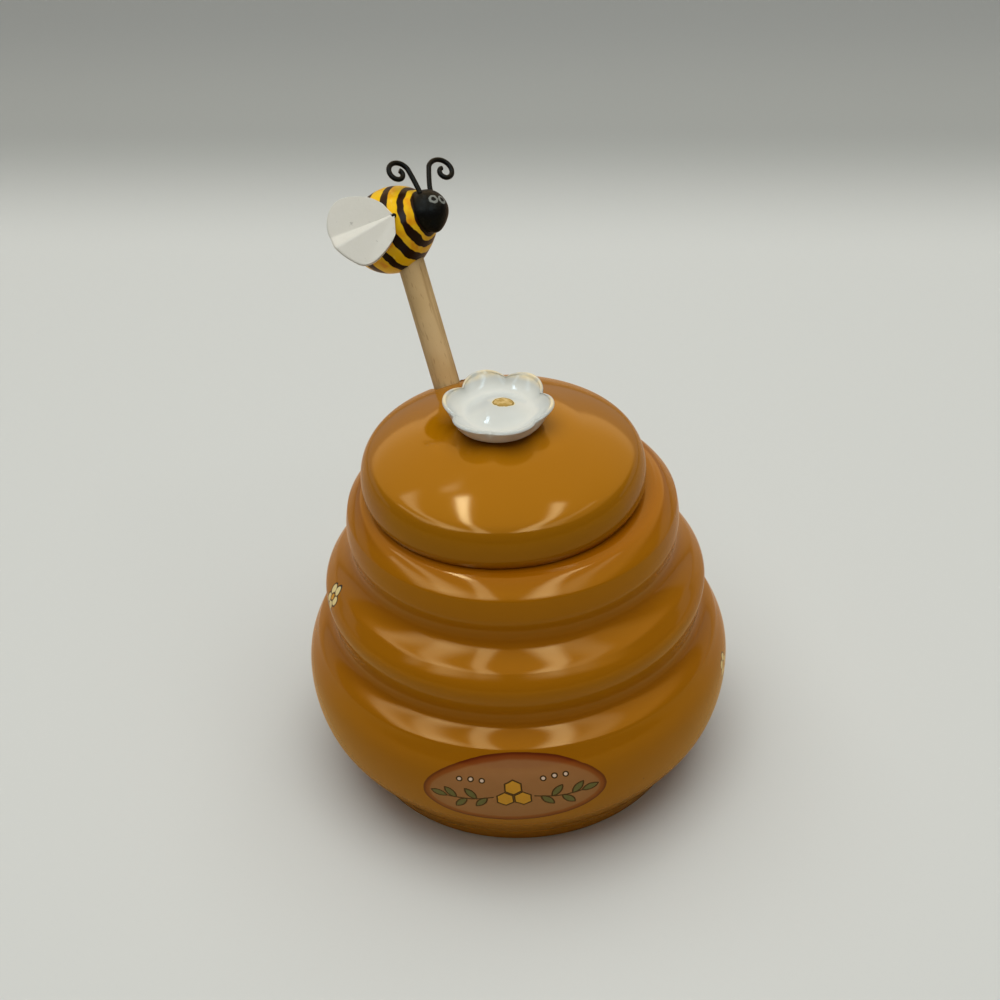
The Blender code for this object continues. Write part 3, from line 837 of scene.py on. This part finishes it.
def beech(name, light, dark):
    """Beech with its grain along the dowel and its short dark flecks."""
    material, shader, place = new_material(name)
    along = seen_from(place, dipper_place(), (1.0, 1.0, 22.0))
    grain = noise(along, 1100.0, 4.0, 0.6)
    bands = noise(along, 330.0, 2.0)
    both = plus(times(grain, 0.55), times(bands, 0.45))
    colour = ramp(both, [(0.34, dark), (0.50, light), (0.72, light)])
    short = seen_from(place, dipper_place(), (1.0, 1.0, 7.0))
    flecks = step_between(noise(short, 2600.0, 1.0), 0.63, 0.70)
    colour = shaded(times(flecks, 0.5), colour, (0.62, 0.52, 0.40, 1.0))
    stains = step_between(noise(place, 55.0, 2.0), 0.45, 0.75)
    colour = shaded(stains, colour, (0.88, 0.84, 0.76, 1.0))
    pores = bumps(grain, 0.00006)
    settle(shader, Base_Color=colour, Roughness=0.62, Normal=pores, Specular_IOR_Level=0.3)
    return material


# Stripes across the bee, back to front: middle, half width, and slant towards the tail
STRIPES = (
    (-0.0117, 0.0014, -0.12), (-0.0060, 0.0012, -0.20), (-0.0001, 0.0010, -0.12),
    (0.0046, 0.0010, -0.17), (0.0082, 0.0007, -0.22),
)
NECK_LINE_AND_SHADOW = 0.0005


def bee_paint():
    """Yellow washed with orange, dark brown stripes painted by hand, and a dark band round the neck
    that is partly painted shadow of the head.
    """
    material, shader, place = new_material("bee_yellow_paint")
    own = seen_from(place, bee_place())
    wash = mixed(step_between(noise(own, 260.0, 2.0), 0.48, 0.72),
                 rgb(232, 184, 18), rgb(218, 142, 18))
    pale = step_between(noise(own, 420.0, 2.0), 0.60, 0.80)
    wash = mixed(times(pale, 0.6), wash, rgb(240, 214, 96))
    wavy = hand_drawn(own, 240.0, 0.0016)
    # A dark band round the head's joint: partly a painted line, partly painted shadow cast by the
    # head
    from_head = vectors("DIVIDE", vectors("SUBTRACT", wavy, HEAD_PLACE), HEAD_SIZE / 2)
    beyond = minus(vectors("LENGTH", from_head), 1.0)
    bands = [minus(times(beyond, HEAD_SIZE.x / 2), NECK_LINE_AND_SHADOW)]
    for middle, half_width, slant in STRIPES:
        along = vectors("DOT_PRODUCT", wavy, (1.0, 0.0, slant))
        off_middle = maths("ABSOLUTE", minus(along, middle))
        bands.append(minus(off_middle, half_width))
    colour = filled(wash, nearest(bands), rgb(28, 9, 3))
    brush = bumps(noise(own, 800.0, 3.0), 0.00008)
    settle(shader, Base_Color=colour, Roughness=0.30, Normal=brush, Specular_IOR_Level=0.16,
           Specular_Tint=COOL_GLINT)
    return material


EYES = (Vector((0.00405, -0.00265, 0.00088)), Vector((0.00487, -0.00032, 0.00045)))
EYE_RADIUS = 0.0009
EYE_LINE = 0.00028
EYE_GREY = rgb(120, 123, 117)


def head_paint(place_of_head):
    """Satin black with a dusty bloom, and two thin rings for eyes."""
    material, shader, place = new_material("bee_black_paint")
    own = seen_from(place, place_of_head)
    dust = step_between(noise(own, 900.0, 4.0, 0.7), 0.52, 0.75)
    colour = mixed(times(dust, 0.5), rgb(9, 9, 9), rgb(34, 34, 31))
    wobble = noise(own, 1500.0, 2.0)
    uneven = times(minus(wobble, 0.5), 0.0005)
    for eye in EYES:
        ring = minus(vectors("DISTANCE", own, eye), EYE_RADIUS)
        colour = inked(colour, plus(ring, uneven), EYE_LINE, EYE_GREY)
    rough = bumps(noise(own, 1300.0, 3.0), 0.00010)
    settle(shader, Base_Color=colour, Roughness=0.40, Normal=rough, Specular_IOR_Level=0.12,
           Specular_Tint=COOL_GLINT)
    return material


def wing_paint():
    """White paint with a few grey rubs."""
    material, shader, place = new_material("wing_white_paint")
    own = seen_from(place, bee_place())
    clouds = noise(own, 240.0, 3.0)
    colour = shaded(clouds, rgb(209, 208, 198), (0.955, 0.95, 0.93, 1.0))
    rubs = step_between(noise(own, 640.0, 4.0, 0.7), 0.66, 0.74)
    colour = mixed(times(rubs, 0.55), colour, rgb(132, 130, 122))
    soft = bumps(noise(own, 500.0, 3.0), 0.00008)
    settle(shader, Base_Color=colour, Roughness=0.38, Normal=soft, Specular_IOR_Level=0.25,
           Specular_Tint=COOL_GLINT)
    return material


def wire_enamel(name, grey, roughness):
    """Black enamelled wire with faint scuffs."""
    material, shader, place = new_material(name)
    scuffs = step_between(noise(place, 1100.0, 3.0), 0.55, 0.80)
    colour = mixed(times(scuffs, 0.4), rgb(7, 7, 7), rgb(grey, grey, grey))
    uneven = bumps(noise(place, 1700.0, 2.0), 0.00005)
    settle(shader, Base_Color=colour, Roughness=roughness, Normal=uneven,
           Specular_IOR_Level=0.14, Specular_Tint=COOL_GLINT)
    return material


# Pieces


def make_pot():
    """The pot: one turned casting, hollow, on a low foot ring."""
    rings = list(reversed(POT_RINGS.values()))
    heel_radius, heel_height = POT_RINGS["heel"]
    inner_rings = [POT_RINGS[name] for name in INNER_RINGS]
    inside = smooth_curve(
        [
            (rings[-1][0] - POT_WALL, POT_FLOOR),
            (heel_radius - POT_WALL, heel_height + POT_WALL),
            *[(radius - POT_WALL, height) for radius, height in inner_rings],
            (MOUTH_RADIUS, SEAT_HEIGHT - RIM_THICKNESS),
        ],
        INNER_STEPS,
    )
    rim = arc((MOUTH_RADIUS + RIM_ROUND, SEAT_HEIGHT - RIM_ROUND), RIM_ROUND, 180, 90)
    outside = smooth_curve([(rings[0][0] - SHOULDER_WIDTH, SEAT_HEIGHT), *rings], OUTER_STEPS)
    outside = edged(outside, POT_EDGES)
    above_foot = [point for point in outside if point[1] > FOOT_ROUND]
    foot_radius = above_foot[-1][0]
    foot = arc((foot_radius - FOOT_ROUND, FOOT_ROUND), FOOT_ROUND, 0, -90)
    ring_inside = foot_radius - FOOT_RING_WIDTH
    underside = [
        (ring_inside, 0.0), (ring_inside - FOOT_RECESS, FOOT_RECESS), (0.0, FOOT_RECESS),
    ]
    profile = [(0.0, POT_FLOOR), *inside, *rim, *above_foot, *foot, *underside]
    pot = new_object("glazed_pot", turned(profile, TURNED_STEPS))
    return finished(pot, pot_glaze(), "jar", "jar_body")


def lid_section():
    """The lid's section, from its crown down the outside and up the hollow."""
    outside = smooth_curve(
        [
            (LID_FLAT_RADIUS, LID_TOP),
            (LID_CROWN_RADIUS, LID_CROWN_HEIGHT),
            (LID_RADIUS + LID_SWELL - LID_SHOULDER_INSET, LID_SHOULDER_HEIGHT),
            (LID_RADIUS + LID_SWELL, LID_SWELL_HEIGHT),
            (LID_RADIUS, LID_BOTTOM),
        ],
        OUTER_STEPS,
    )
    flange_end = LID_BOTTOM - FLANGE_DEPTH
    flange = [
        (FLANGE_OUTER, LID_BOTTOM),
        *arc((FLANGE_OUTER - FLANGE_ROUND, flange_end + FLANGE_ROUND), FLANGE_ROUND, 0, -90),
        *arc((FLANGE_INNER + FLANGE_ROUND, flange_end + FLANGE_ROUND), FLANGE_ROUND, -90, -180),
        (FLANGE_INNER, LID_BOTTOM + SHELF_THICKNESS),
    ]
    hollow = smooth_curve(
        [
            (LID_RADIUS - LID_SHOULDER_INSET - LID_WALL, LID_SHOULDER_HEIGHT - LID_WALL),
            (LID_CROWN_RADIUS, LID_CROWN_HEIGHT - LID_WALL),
            (0.0, LID_TOP - LID_WALL),
        ],
        INNER_STEPS,
    )
    return [(0.0, LID_TOP), *edged(outside, LID_EDGES), *flange, *hollow]


def make_lid():
    """The lid, with the slot that lets the dipper out, its inner end slanted as the dowel."""
    lid = new_object("glazed_lid", turned(lid_section(), TURNED_STEPS),
                     Matrix.Translation((LID_SHIFT, 0, 0)))
    low = LID_BOTTOM - 2 * FLANGE_DEPTH
    high = LID_TOP + FLANGE_DEPTH
    slanted_radius = DOWEL_RADIUS / math.cos(DIPPER_LEAN)
    dowel_out = DIPPER_FOOT_OUT + (low - DIPPER_FOOT_HEIGHT) * math.tan(DIPPER_LEAN)
    inner = dowel_out - slanted_radius - SLOT_PLAY
    outer = LID_RADIUS + LID_SWELL + abs(LID_SHIFT) + SLOT_WIDTH
    middle = Matrix.Translation((0, (inner + outer) / 2, (low + high) / 2))
    bm = bmesh.new()
    size = Matrix.Diagonal((SLOT_WIDTH, outer - inner, high - low, 1))
    bmesh.ops.create_cube(bm, size=1.0, matrix=middle @ size)
    upright = [edge for edge in bm.edges if edge.verts[0].co.xy == edge.verts[1].co.xy]
    round_edges(bm, upright, SLOT_ROUND, 4)
    for vert in bm.verts:
        if vert.co.y < (inner + outer) / 2:
            vert.co.y += (vert.co.z - low) * math.tan(DIPPER_LEAN)
    cut(lid, new_object("slot", bm, Matrix.Rotation(DIPPER_TURN, 4, "Z")))
    return finished(lid, lid_glaze(), "lid", "lid")


def flower_section():
    """The flower's section, from its middle boss over the rim to its foot."""
    rim = KNOB_BOTTOM + KNOB_HEIGHT
    floor = KNOB_BOTTOM + KNOB_FLOOR
    boss = floor + KNOB_BOSS_HEIGHT
    half_rim = KNOB_RIM / 2
    inside = smooth_curve(
        [
            (0.0, boss), (KNOB_BOSS_RADIUS, boss - KNOB_BOSS_HEIGHT / 5),
            (KNOB_WELL_RADIUS, floor), (KNOB_FLOOR_RADIUS, floor + KNOB_BOSS_HEIGHT / 5),
            (KNOB_RADIUS - KNOB_RIM, rim - half_rim),
        ],
        OUTER_STEPS,
    )
    lip = arc((KNOB_RADIUS - half_rim, rim - half_rim), half_rim, 180, 0)
    outside = smooth_curve(
        [
            (KNOB_RADIUS, rim - half_rim),
            (KNOB_RADIUS - KNOB_RIM, floor + half_rim),
            (KNOB_WAIST_RADIUS, KNOB_BOTTOM + KNOB_FOOT_HEIGHT),
            (KNOB_FOOT_RADIUS, KNOB_BOTTOM),
        ],
        OUTER_STEPS,
    )
    return [*inside, *lip, *outside, (0.0, KNOB_BOTTOM)]


def make_flower():
    """The flower: a turned dish whose wall is drawn into petals."""
    bm = turned(flower_section(), FLOWER_STEPS)
    for vert in bm.verts:
        radius = vert.co.xy.length
        angle = math.atan2(vert.co.y, vert.co.x)
        height = vert.co.z - KNOB_BOTTOM
        reach = max(0.0, (radius - KNOB_WELL_RADIUS) / (KNOB_RADIUS - KNOB_WELL_RADIUS))
        lobe = (math.sin(PETALS * angle / 2) ** 2 + NOTCH_ROUND_SHARE) ** (PETAL_CURVE_SHARE / 2)
        notch = reach * max(0.0, 1 - lobe) * (height / KNOB_HEIGHT) ** 1.5
        back = radius * math.sin(angle + PETAL_TURN)
        vert.co.x -= vert.co.x * PETAL_NOTCH_SHARE * notch
        vert.co.y -= vert.co.y * PETAL_NOTCH_SHARE * notch
        vert.co.z -= max(0.0, height - KNOB_FLOOR) * PETAL_DROP_SHARE * notch
        vert.co.z += back * math.tan(KNOB_LEAN) * height / KNOB_HEIGHT
    place = Matrix.Translation((LID_SHIFT + KNOB_SHIFT, 0, 0))
    flower = new_object("petal_flower", bm, place @ Matrix.Rotation(PETAL_TURN, 4, "Z"))
    return finished(flower, flower_glaze(), "lid", "flower_knob")


def dipper_head_section():
    """The dipper head's section, from its socket down its ridges and grooves."""
    def barrel(height):
        """Radius of the barrel that the ridges reach at a height above its end."""
        off_middle = 2 * height / DIPPER_HEAD_LENGTH - 1
        return DIPPER_HEAD_RADIUS - (DIPPER_HEAD_RADIUS - DIPPER_END_RADIUS) * off_middle**2

    pitch = DIPPER_HEAD_LENGTH / (DIPPER_GROOVES + DIPPER_GROOVE_SHARE)
    groove = pitch * DIPPER_GROOVE_SHARE
    ridge = pitch - groove
    socket_radius = DOWEL_RADIUS + GLUE_LINE
    socket_floor = DIPPER_HEAD_LENGTH - SOCKET_DEPTH
    ridge_bottom = DIPPER_HEAD_LENGTH - groove
    profile = [
        (0.0, socket_floor), (socket_radius, socket_floor), (socket_radius, DIPPER_HEAD_LENGTH),
        (barrel(DIPPER_HEAD_LENGTH), DIPPER_HEAD_LENGTH), (barrel(ridge_bottom), ridge_bottom),
    ]
    for _ in range(DIPPER_GROOVES):
        ridge_top = ridge_bottom - ridge
        profile.append((barrel(ridge_bottom) - DIPPER_GROOVE_DEPTH, ridge_bottom))
        profile.append((barrel(ridge_top) - DIPPER_GROOVE_DEPTH, ridge_top))
        ridge_bottom = ridge_top - groove
        profile.append((barrel(ridge_top), ridge_top))
        profile.append((barrel(ridge_bottom), ridge_bottom))
    profile.append((0.0, 0.0))
    return profile


def make_dipper():
    """The dowel and the grooved head on its lower end."""
    place = dipper_place()
    bm = turned(dipper_head_section(), SMALL_STEPS)
    corners = [edge for edge in bm.edges
               if edge.calc_face_angle(0.0) > SMOOTH_ANGLE
               and abs(edge.verts[0].co.z - edge.verts[1].co.z) < MERGE]
    round_edges(bm, corners, RIDGE_ROUND)
    head = new_object("beech_dipper_head", bm, place)
    wood = beech("beech_head", rgb(184, 153, 108), rgb(148, 114, 72))
    finished(head, wood, "dipper", "dipper_head")
    bottom = DIPPER_HEAD_LENGTH - SOCKET_DEPTH + GLUE_LINE
    top = BEE_DISTANCE - BEE_SIZE.z / 2 + BEE_SOCKET_DEPTH - GLUE_LINE
    bm = rod(DOWEL_RADIUS, bottom, top, SMALL_STEPS, DOWEL_CHAMFER)
    wood = beech("beech_dowel", rgb(201, 174, 126), rgb(169, 138, 90))
    finished(new_object("beech_dowel", bm, place), wood, "dipper", "dipper_handle")


def make_bee():
    """The striped body, the black head, and their sockets."""
    place = bee_place()
    head_place = place @ Matrix.Translation(HEAD_PLACE)
    body = new_object("striped_bee_body", egg(BEE_SIZE, tail_taper), place)
    bottom = BEE_DISTANCE - BEE_SIZE.z
    top = BEE_DISTANCE - BEE_SIZE.z / 2 + BEE_SOCKET_DEPTH
    socket = rod(DOWEL_RADIUS + GLUE_LINE, bottom, top, SMALL_STEPS)
    cut(body, new_object("dowel_socket", socket, dipper_place()))
    cut(body, new_object("head_hollow", egg(HEAD_SIZE, chin_taper, GLUE_LINE), head_place))
    finished(body, bee_paint(), "dipper", "bee_body")
    head = new_object("black_bee_head", egg(HEAD_SIZE, chin_taper), head_place)
    for side, sign in SIDES.items():
        spot = head_place @ Matrix.Translation((FEELER_FORWARD, sign * FEELER_SPACING / 2, 0))
        hole = rod(FEELER_RADIUS + GLUE_LINE, HEAD_SIZE.z / 2 - FEELER_HOLE_DEPTH, HEAD_SIZE.z,
                   SMALL_STEPS // 3)
        cut(head, new_object(side + "_feeler_hole", hole, spot))
    finished(head, head_paint(head_place), "dipper", "bee_head")


def wing_reach(aside):
    """The share of the wing's length at a place between its lower and upper edge."""
    outline = smooth_curve(WING_OUTLINE, ARC_STEPS * 2)
    for (before, first), (after, second) in zip(outline, outline[1:]):
        if aside <= after:
            return first + (second - first) * (aside - before) / (after - before)
    return outline[-1][1]


def wing_fan(side, rise, length, spreads):
    """A fan with a fold along its middle, open until it is given a thickness."""
    bm = bmesh.new()
    along, aside = WING_STEPS
    bmesh.ops.create_grid(bm, x_segments=along, y_segments=aside, size=1.0)
    flare = Matrix.Rotation(side * (math.pi - WING_FLARE), 4, "Z")
    lift = Matrix.Rotation(-rise, 4, "Y")
    for vert in bm.verts:
        out = WING_POINT_SHARE + (1 - WING_POINT_SHARE) * (vert.co.x + 1) / 2
        aside = vert.co.y
        reach = length * out * wing_reach(aside)
        angle = aside * spreads[aside > 0]
        slope = 1 - aside / WING_FOLD_SHARE if aside > 0 else 1 + aside
        fold = WING_RIDGE * out * max(0.0, slope)
        flat = Vector((reach * math.cos(angle), -side * fold, reach * math.sin(angle)))
        vert.co = flare @ (lift @ flat)
    return bm


def make_wings():
    """One white wing on each flank, its root trimmed to the body, and its pin."""
    place = bee_place()
    white = wing_paint()
    steel = wire_enamel("dark_pin", grey=90, roughness=0.22)
    girth = BEE_SIZE.y * math.sqrt(1 - (2 * WING_ROOT.x / BEE_SIZE.x) ** 2)
    for side, sign in SIDES.items():
        root = WING_ROOT + Vector((0, sign * (girth / 2 + WING_ROOT_STAND), 0))
        fan = wing_fan(sign, WING_RISES[side], WING_LENGTHS[side], WING_SPREADS[side])
        wing = new_object(side + "_wing_fan", fan, place @ Matrix.Translation(root))
        thickness = wing.modifiers.new("thickness", "SOLIDIFY")
        thickness.thickness = WING_THICKNESS
        thickness.offset = 0.0
        rounding = wing.modifiers.new("rounding", "SUBSURF")
        rounding.levels = 1
        rounding.render_levels = 1
        baked(wing)
        cut(wing, new_object(side + "_wing_root", egg(BEE_SIZE, tail_taper, GLUE_LINE), place))
        finished(wing, white, "dipper", "bee_wing_" + side)
        bm = bmesh.new()
        across, down = PIN_STEPS
        bmesh.ops.create_uvsphere(bm, u_segments=across, v_segments=down, radius=WING_PIN_RADIUS)
        pin = new_object(side + "_wing_pin", bm, place @ Matrix.Translation(root))
        finished(pin, steel, "dipper")


def feeler_line(turn, curl_out, curl_up, first_radius, start, curl_turn, tightening):
    """The feeler's middle line, from its hole in the head to the end of its curl."""
    foot = HEAD_SIZE.z / 2 - FEELER_HOLE_DEPTH + GLUE_LINE
    curl = []
    for index in range(CURL_STEPS + 1):
        t = index / CURL_STEPS
        radius = CURL_END_RADIUS + (first_radius - CURL_END_RADIUS) * (1 - t) ** tightening
        angle = start - curl_turn * t
        curl.append((curl_out + radius * math.cos(angle), curl_up + radius * math.sin(angle)))
    steps = ARC_STEPS * 3
    onward = (curl[0][0] + first_radius * math.sin(start),
              curl[0][1] - first_radius * math.cos(start))
    stem_line = smooth_curve([(0.0, foot), (0.0, HEAD_SIZE.z / 2), curl[0], onward], steps)
    flat = stem_line[:2 * steps] + curl
    return [(out * math.cos(turn), out * math.sin(turn), height) for out, height in flat]


def make_feelers():
    """The two curled wires on the head."""
    head_place = bee_place() @ Matrix.Translation(HEAD_PLACE)
    enamel = wire_enamel("black_wire_enamel", grey=40, roughness=0.36)
    for side, sign in SIDES.items():
        curve = bpy.data.curves.new(side, "CURVE")
        curve.dimensions = "3D"
        curve.bevel_depth = FEELER_RADIUS
        curve.bevel_resolution = 5
        curve.use_fill_caps = True
        line = feeler_line(FEELER_TURNS[side], *CURLS[side])
        spline = curve.splines.new("POLY")
        spline.points.add(len(line) - 1)
        for point, position in zip(spline.points, line):
            point.co = (*position, 1.0)
        spiral = bpy.data.objects.new(side, curve)
        bm = bmesh.new()
        mesh = bpy.data.meshes.new_from_object(spiral)
        bm.from_mesh(mesh)
        bmesh.ops.remove_doubles(bm, verts=bm.verts, dist=MERGE)
        bmesh.ops.recalc_face_normals(bm, faces=bm.faces)
        bpy.data.objects.remove(spiral)
        spot = head_place @ Matrix.Translation((FEELER_FORWARD, sign * FEELER_SPACING / 2, 0))
        wire = new_object(side + "_feeler_wire", bm, spot)
        finished(wire, enamel, "dipper", "antenna_" + side)


# Floor, light and camera

FLOOR_SIZE = 8.0
FLOOR_PALE = (0.610, 0.622, 0.584, 1.0)
FLOOR_SHADE = (0.338, 0.350, 0.328, 1.0)
FLOOR_DEEP_SHADE = (0.285, 0.298, 0.285, 1.0)
FLOOR_MIRRORED = (0.600, 0.400, 0.150, 1.0)
FLOOR_MIRRORED_FAR = (0.560, 0.370, 0.230, 1.0)
MIRRORED_BACK = (-0.02, 0.06)
SHADE_TURN = math.radians(6.3)
SHADE_START = 0.262
SHADE_FULL = 0.385
SHADE_DEEP = 0.540


def make_floor():
    """A pale table top that falls into shade well behind the jar."""
    bm = bmesh.new()
    bmesh.ops.create_grid(bm, x_segments=1, y_segments=1, size=FLOOR_SIZE / 2)
    floor = new_object("floor", bm)
    material, shader, place = new_material("pale_table")
    away = (math.sin(SHADE_TURN), math.cos(SHADE_TURN), 0.0)
    far = vectors("DOT_PRODUCT", place, away)
    colour = mixed(step_between(far, SHADE_START, SHADE_FULL), FLOOR_PALE, FLOOR_SHADE)
    colour = mixed(step_between(far, SHADE_FULL, SHADE_DEEP), colour, FLOOR_DEEP_SHADE)
    far_side = step_between(axes(place)[1], *MIRRORED_BACK)
    mirrored = mixed(far_side, FLOOR_MIRRORED, FLOOR_MIRRORED_FAR)
    path = node("LightPath", {}, tree=material.node_tree).node.outputs
    colour = mixed(path["Is Glossy Ray"], colour, mirrored)
    settle(shader, Base_Color=colour, Roughness=0.75, Specular_IOR_Level=0.1)
    floor.data.materials.append(material)


# Lamp overhead: its side, where it hangs seen from the jar, and its strength
LAMP_SIZE = 1.6
LAMP_DISTANCE = 1.2
LAMP_TURN = math.radians(190)
LAMP_RISE = math.radians(88)
LAMP_RADIANCE = 2.72
ROOM_LIGHT = (0.10, 0.10, 0.098, 1.0)
BACKGROUND_WHITE = (196, 198, 192)


def make_lamp():
    """A soft square lamp that faces the jar from overhead and isn't mirrored in the glaze."""
    light = bpy.data.lights.new("ceiling", "AREA")
    light.size = LAMP_SIZE
    light.energy = LAMP_RADIANCE * math.pi * LAMP_SIZE**2
    made = bpy.data.objects.new("ceiling", light)
    bpy.context.scene.collection.objects.link(made)
    level = math.cos(LAMP_RISE)
    away = Vector((math.sin(LAMP_TURN) * level, -math.cos(LAMP_TURN) * level, math.sin(LAMP_RISE)))
    made.location = Vector((0, 0, AIM_HEIGHT)) + away * LAMP_DISTANCE
    made.rotation_euler = away.to_track_quat("Z", "Y").to_euler()
    made.visible_camera = False
    made.visible_glossy = False


# What the glaze mirrors. A slope is a distance across or back for each unit of height.
ROOM_DARK = 0.09
CEILING_GLOW = (1.30, 0.80, 0.30, 1.0)
CEILING_END = 3.0
CEILING_EDGE = 0.06
BACKDROP_GLOW = 0.25
BACKDROP_START = (1.5, 2.5)
CEILING_SIDES = (1.6, 2.8)
CEILING_FRONT = (-1.85, -1.50)
CEILING_LOW = (0.16, 0.26)
# Tubes of light: slope across and its change with the slope back, half width and softness,
# the slopes back where they start and end, and the radiance of their near and far parts
TUBES = {
    "left": (-0.310, 0.16, 0.040, 0.015, -9.0, 0.29, 3.4, 15.0),
    "left_end": (-0.330, 0.0, 0.045, 0.030, 0.37, 0.43, 2.4, 2.4),
    "right": (0.375, -0.05, 0.056, 0.036, -9.0, 0.15, 4.4, 6.0),
    "far_left": (-0.900, 0.25, 0.110, 0.080, -9.0, 0.48, 2.6, 2.6),
    "far_right": (0.900, 0.0, 0.100, 0.080, -9.0, 0.10, 1.2, 1.2),
    "left_wall": (-1.750, 0.0, 0.220, 0.200, -1.3, 0.20, 2.0, 2.0),
}
TUBE_FADE = (-0.50, 0.10)
TUBE_SPREAD = 1.6
TUBE_END_SOFT = 0.02
LEAST_RISE = 0.05


def mirrored_room(tree):
    """The brightness of the room in each direction, as the glaze mirrors it."""
    aside, away, up = axes(node("TexCoord", {}, 3, tree))
    rise = maths("MAXIMUM", up, LEAST_RISE)
    across = maths("DIVIDE", aside, rise)
    back = maths("DIVIDE", away, rise)
    overhead = times(step_between(up, *CEILING_LOW), step_between(back, *CEILING_FRONT))
    far = step_between(back, *TUBE_FADE)
    sides = step_between(maths("ABSOLUTE", across), CEILING_SIDES[1], CEILING_SIDES[0])
    ceiling = step_between(back, CEILING_END + CEILING_EDGE, CEILING_END - CEILING_EDGE)
    covered = times(times(sides, ceiling), overhead)
    light = mixed(covered, BLACK, CEILING_GLOW)
    tubes = 0.0
    spread = maths("MULTIPLY_ADD", times(back, back), TUBE_SPREAD, 1.0)
    for middle, lean, half_width, softness, start, end, near_glow, far_glow in TUBES.values():
        middle = maths("MULTIPLY_ADD", back, lean, middle)
        off_middle = maths("ABSOLUTE", minus(across, middle))
        share = maths("DIVIDE", off_middle, spread)
        glow = step_between(share, half_width + softness, half_width - softness)
        for place, way in ((start, 1), (end, -1)):
            soft = way * TUBE_END_SOFT
            within = step_between(back, place - soft, place + soft)
            glow = times(glow, within)
        radiance = node("MapRange", {0: far, 3: near_glow, 4: far_glow})
        tubes = plus(tubes, times(glow, radiance))
    backdrop = times(step_between(back, *BACKDROP_START), BACKDROP_GLOW)
    dim = plus(backdrop, ROOM_DARK)
    white = plus(times(tubes, overhead), dim)
    return vectors("ADD", light, node("CombineXYZ", {0: white, 1: white, 2: white}))


def make_room():
    """A plain pale room, with tubes of light where the glaze mirrors it."""
    world = bpy.data.worlds.new("room")
    bpy.context.scene.world = world
    world.use_nodes = True
    tree = world.node_tree
    background = tree.nodes["Background"]
    path = node("LightPath", {}, tree=tree).node.outputs
    soft = mixed(path["Is Glossy Ray"], ROOM_LIGHT, mirrored_room(tree))
    seen = mixed(path["Is Camera Ray"], soft, rgb(*BACKGROUND_WHITE))
    tree.links.new(seen, background.inputs["Color"])
    background.inputs["Strength"].default_value = 1.0


def make_camera():
    """The camera at the photograph's place."""
    camera = bpy.data.cameras.new("camera")
    camera.sensor_width = SENSOR
    camera.lens = SENSOR * FOCAL_PIXELS / PICTURE
    made = bpy.data.objects.new("camera", camera)
    bpy.context.scene.collection.objects.link(made)
    rise = Matrix.Rotation(math.pi / 2 - CAMERA_PITCH, 3, "X")
    turn = rise @ Matrix.Rotation(CAMERA_ROLL, 3, "Z")
    across = (AIM_PIXEL[0] - PICTURE / 2) / FOCAL_PIXELS
    up = -(AIM_PIXEL[1] - PICTURE / 2) / FOCAL_PIXELS
    made.rotation_euler = turn.to_euler()
    made.location = Vector((0, 0, AIM_HEIGHT)) - turn @ Vector((across, up, -1.0)) * AIM_DEPTH
    bpy.context.scene.camera = made


make_camera()
make_pot()
make_lid()
make_flower()
make_dipper()
make_bee()
make_wings()
make_feelers()
make_floor()
make_lamp()
make_room()
bpy.context.scene.view_settings.view_transform = "Standard"
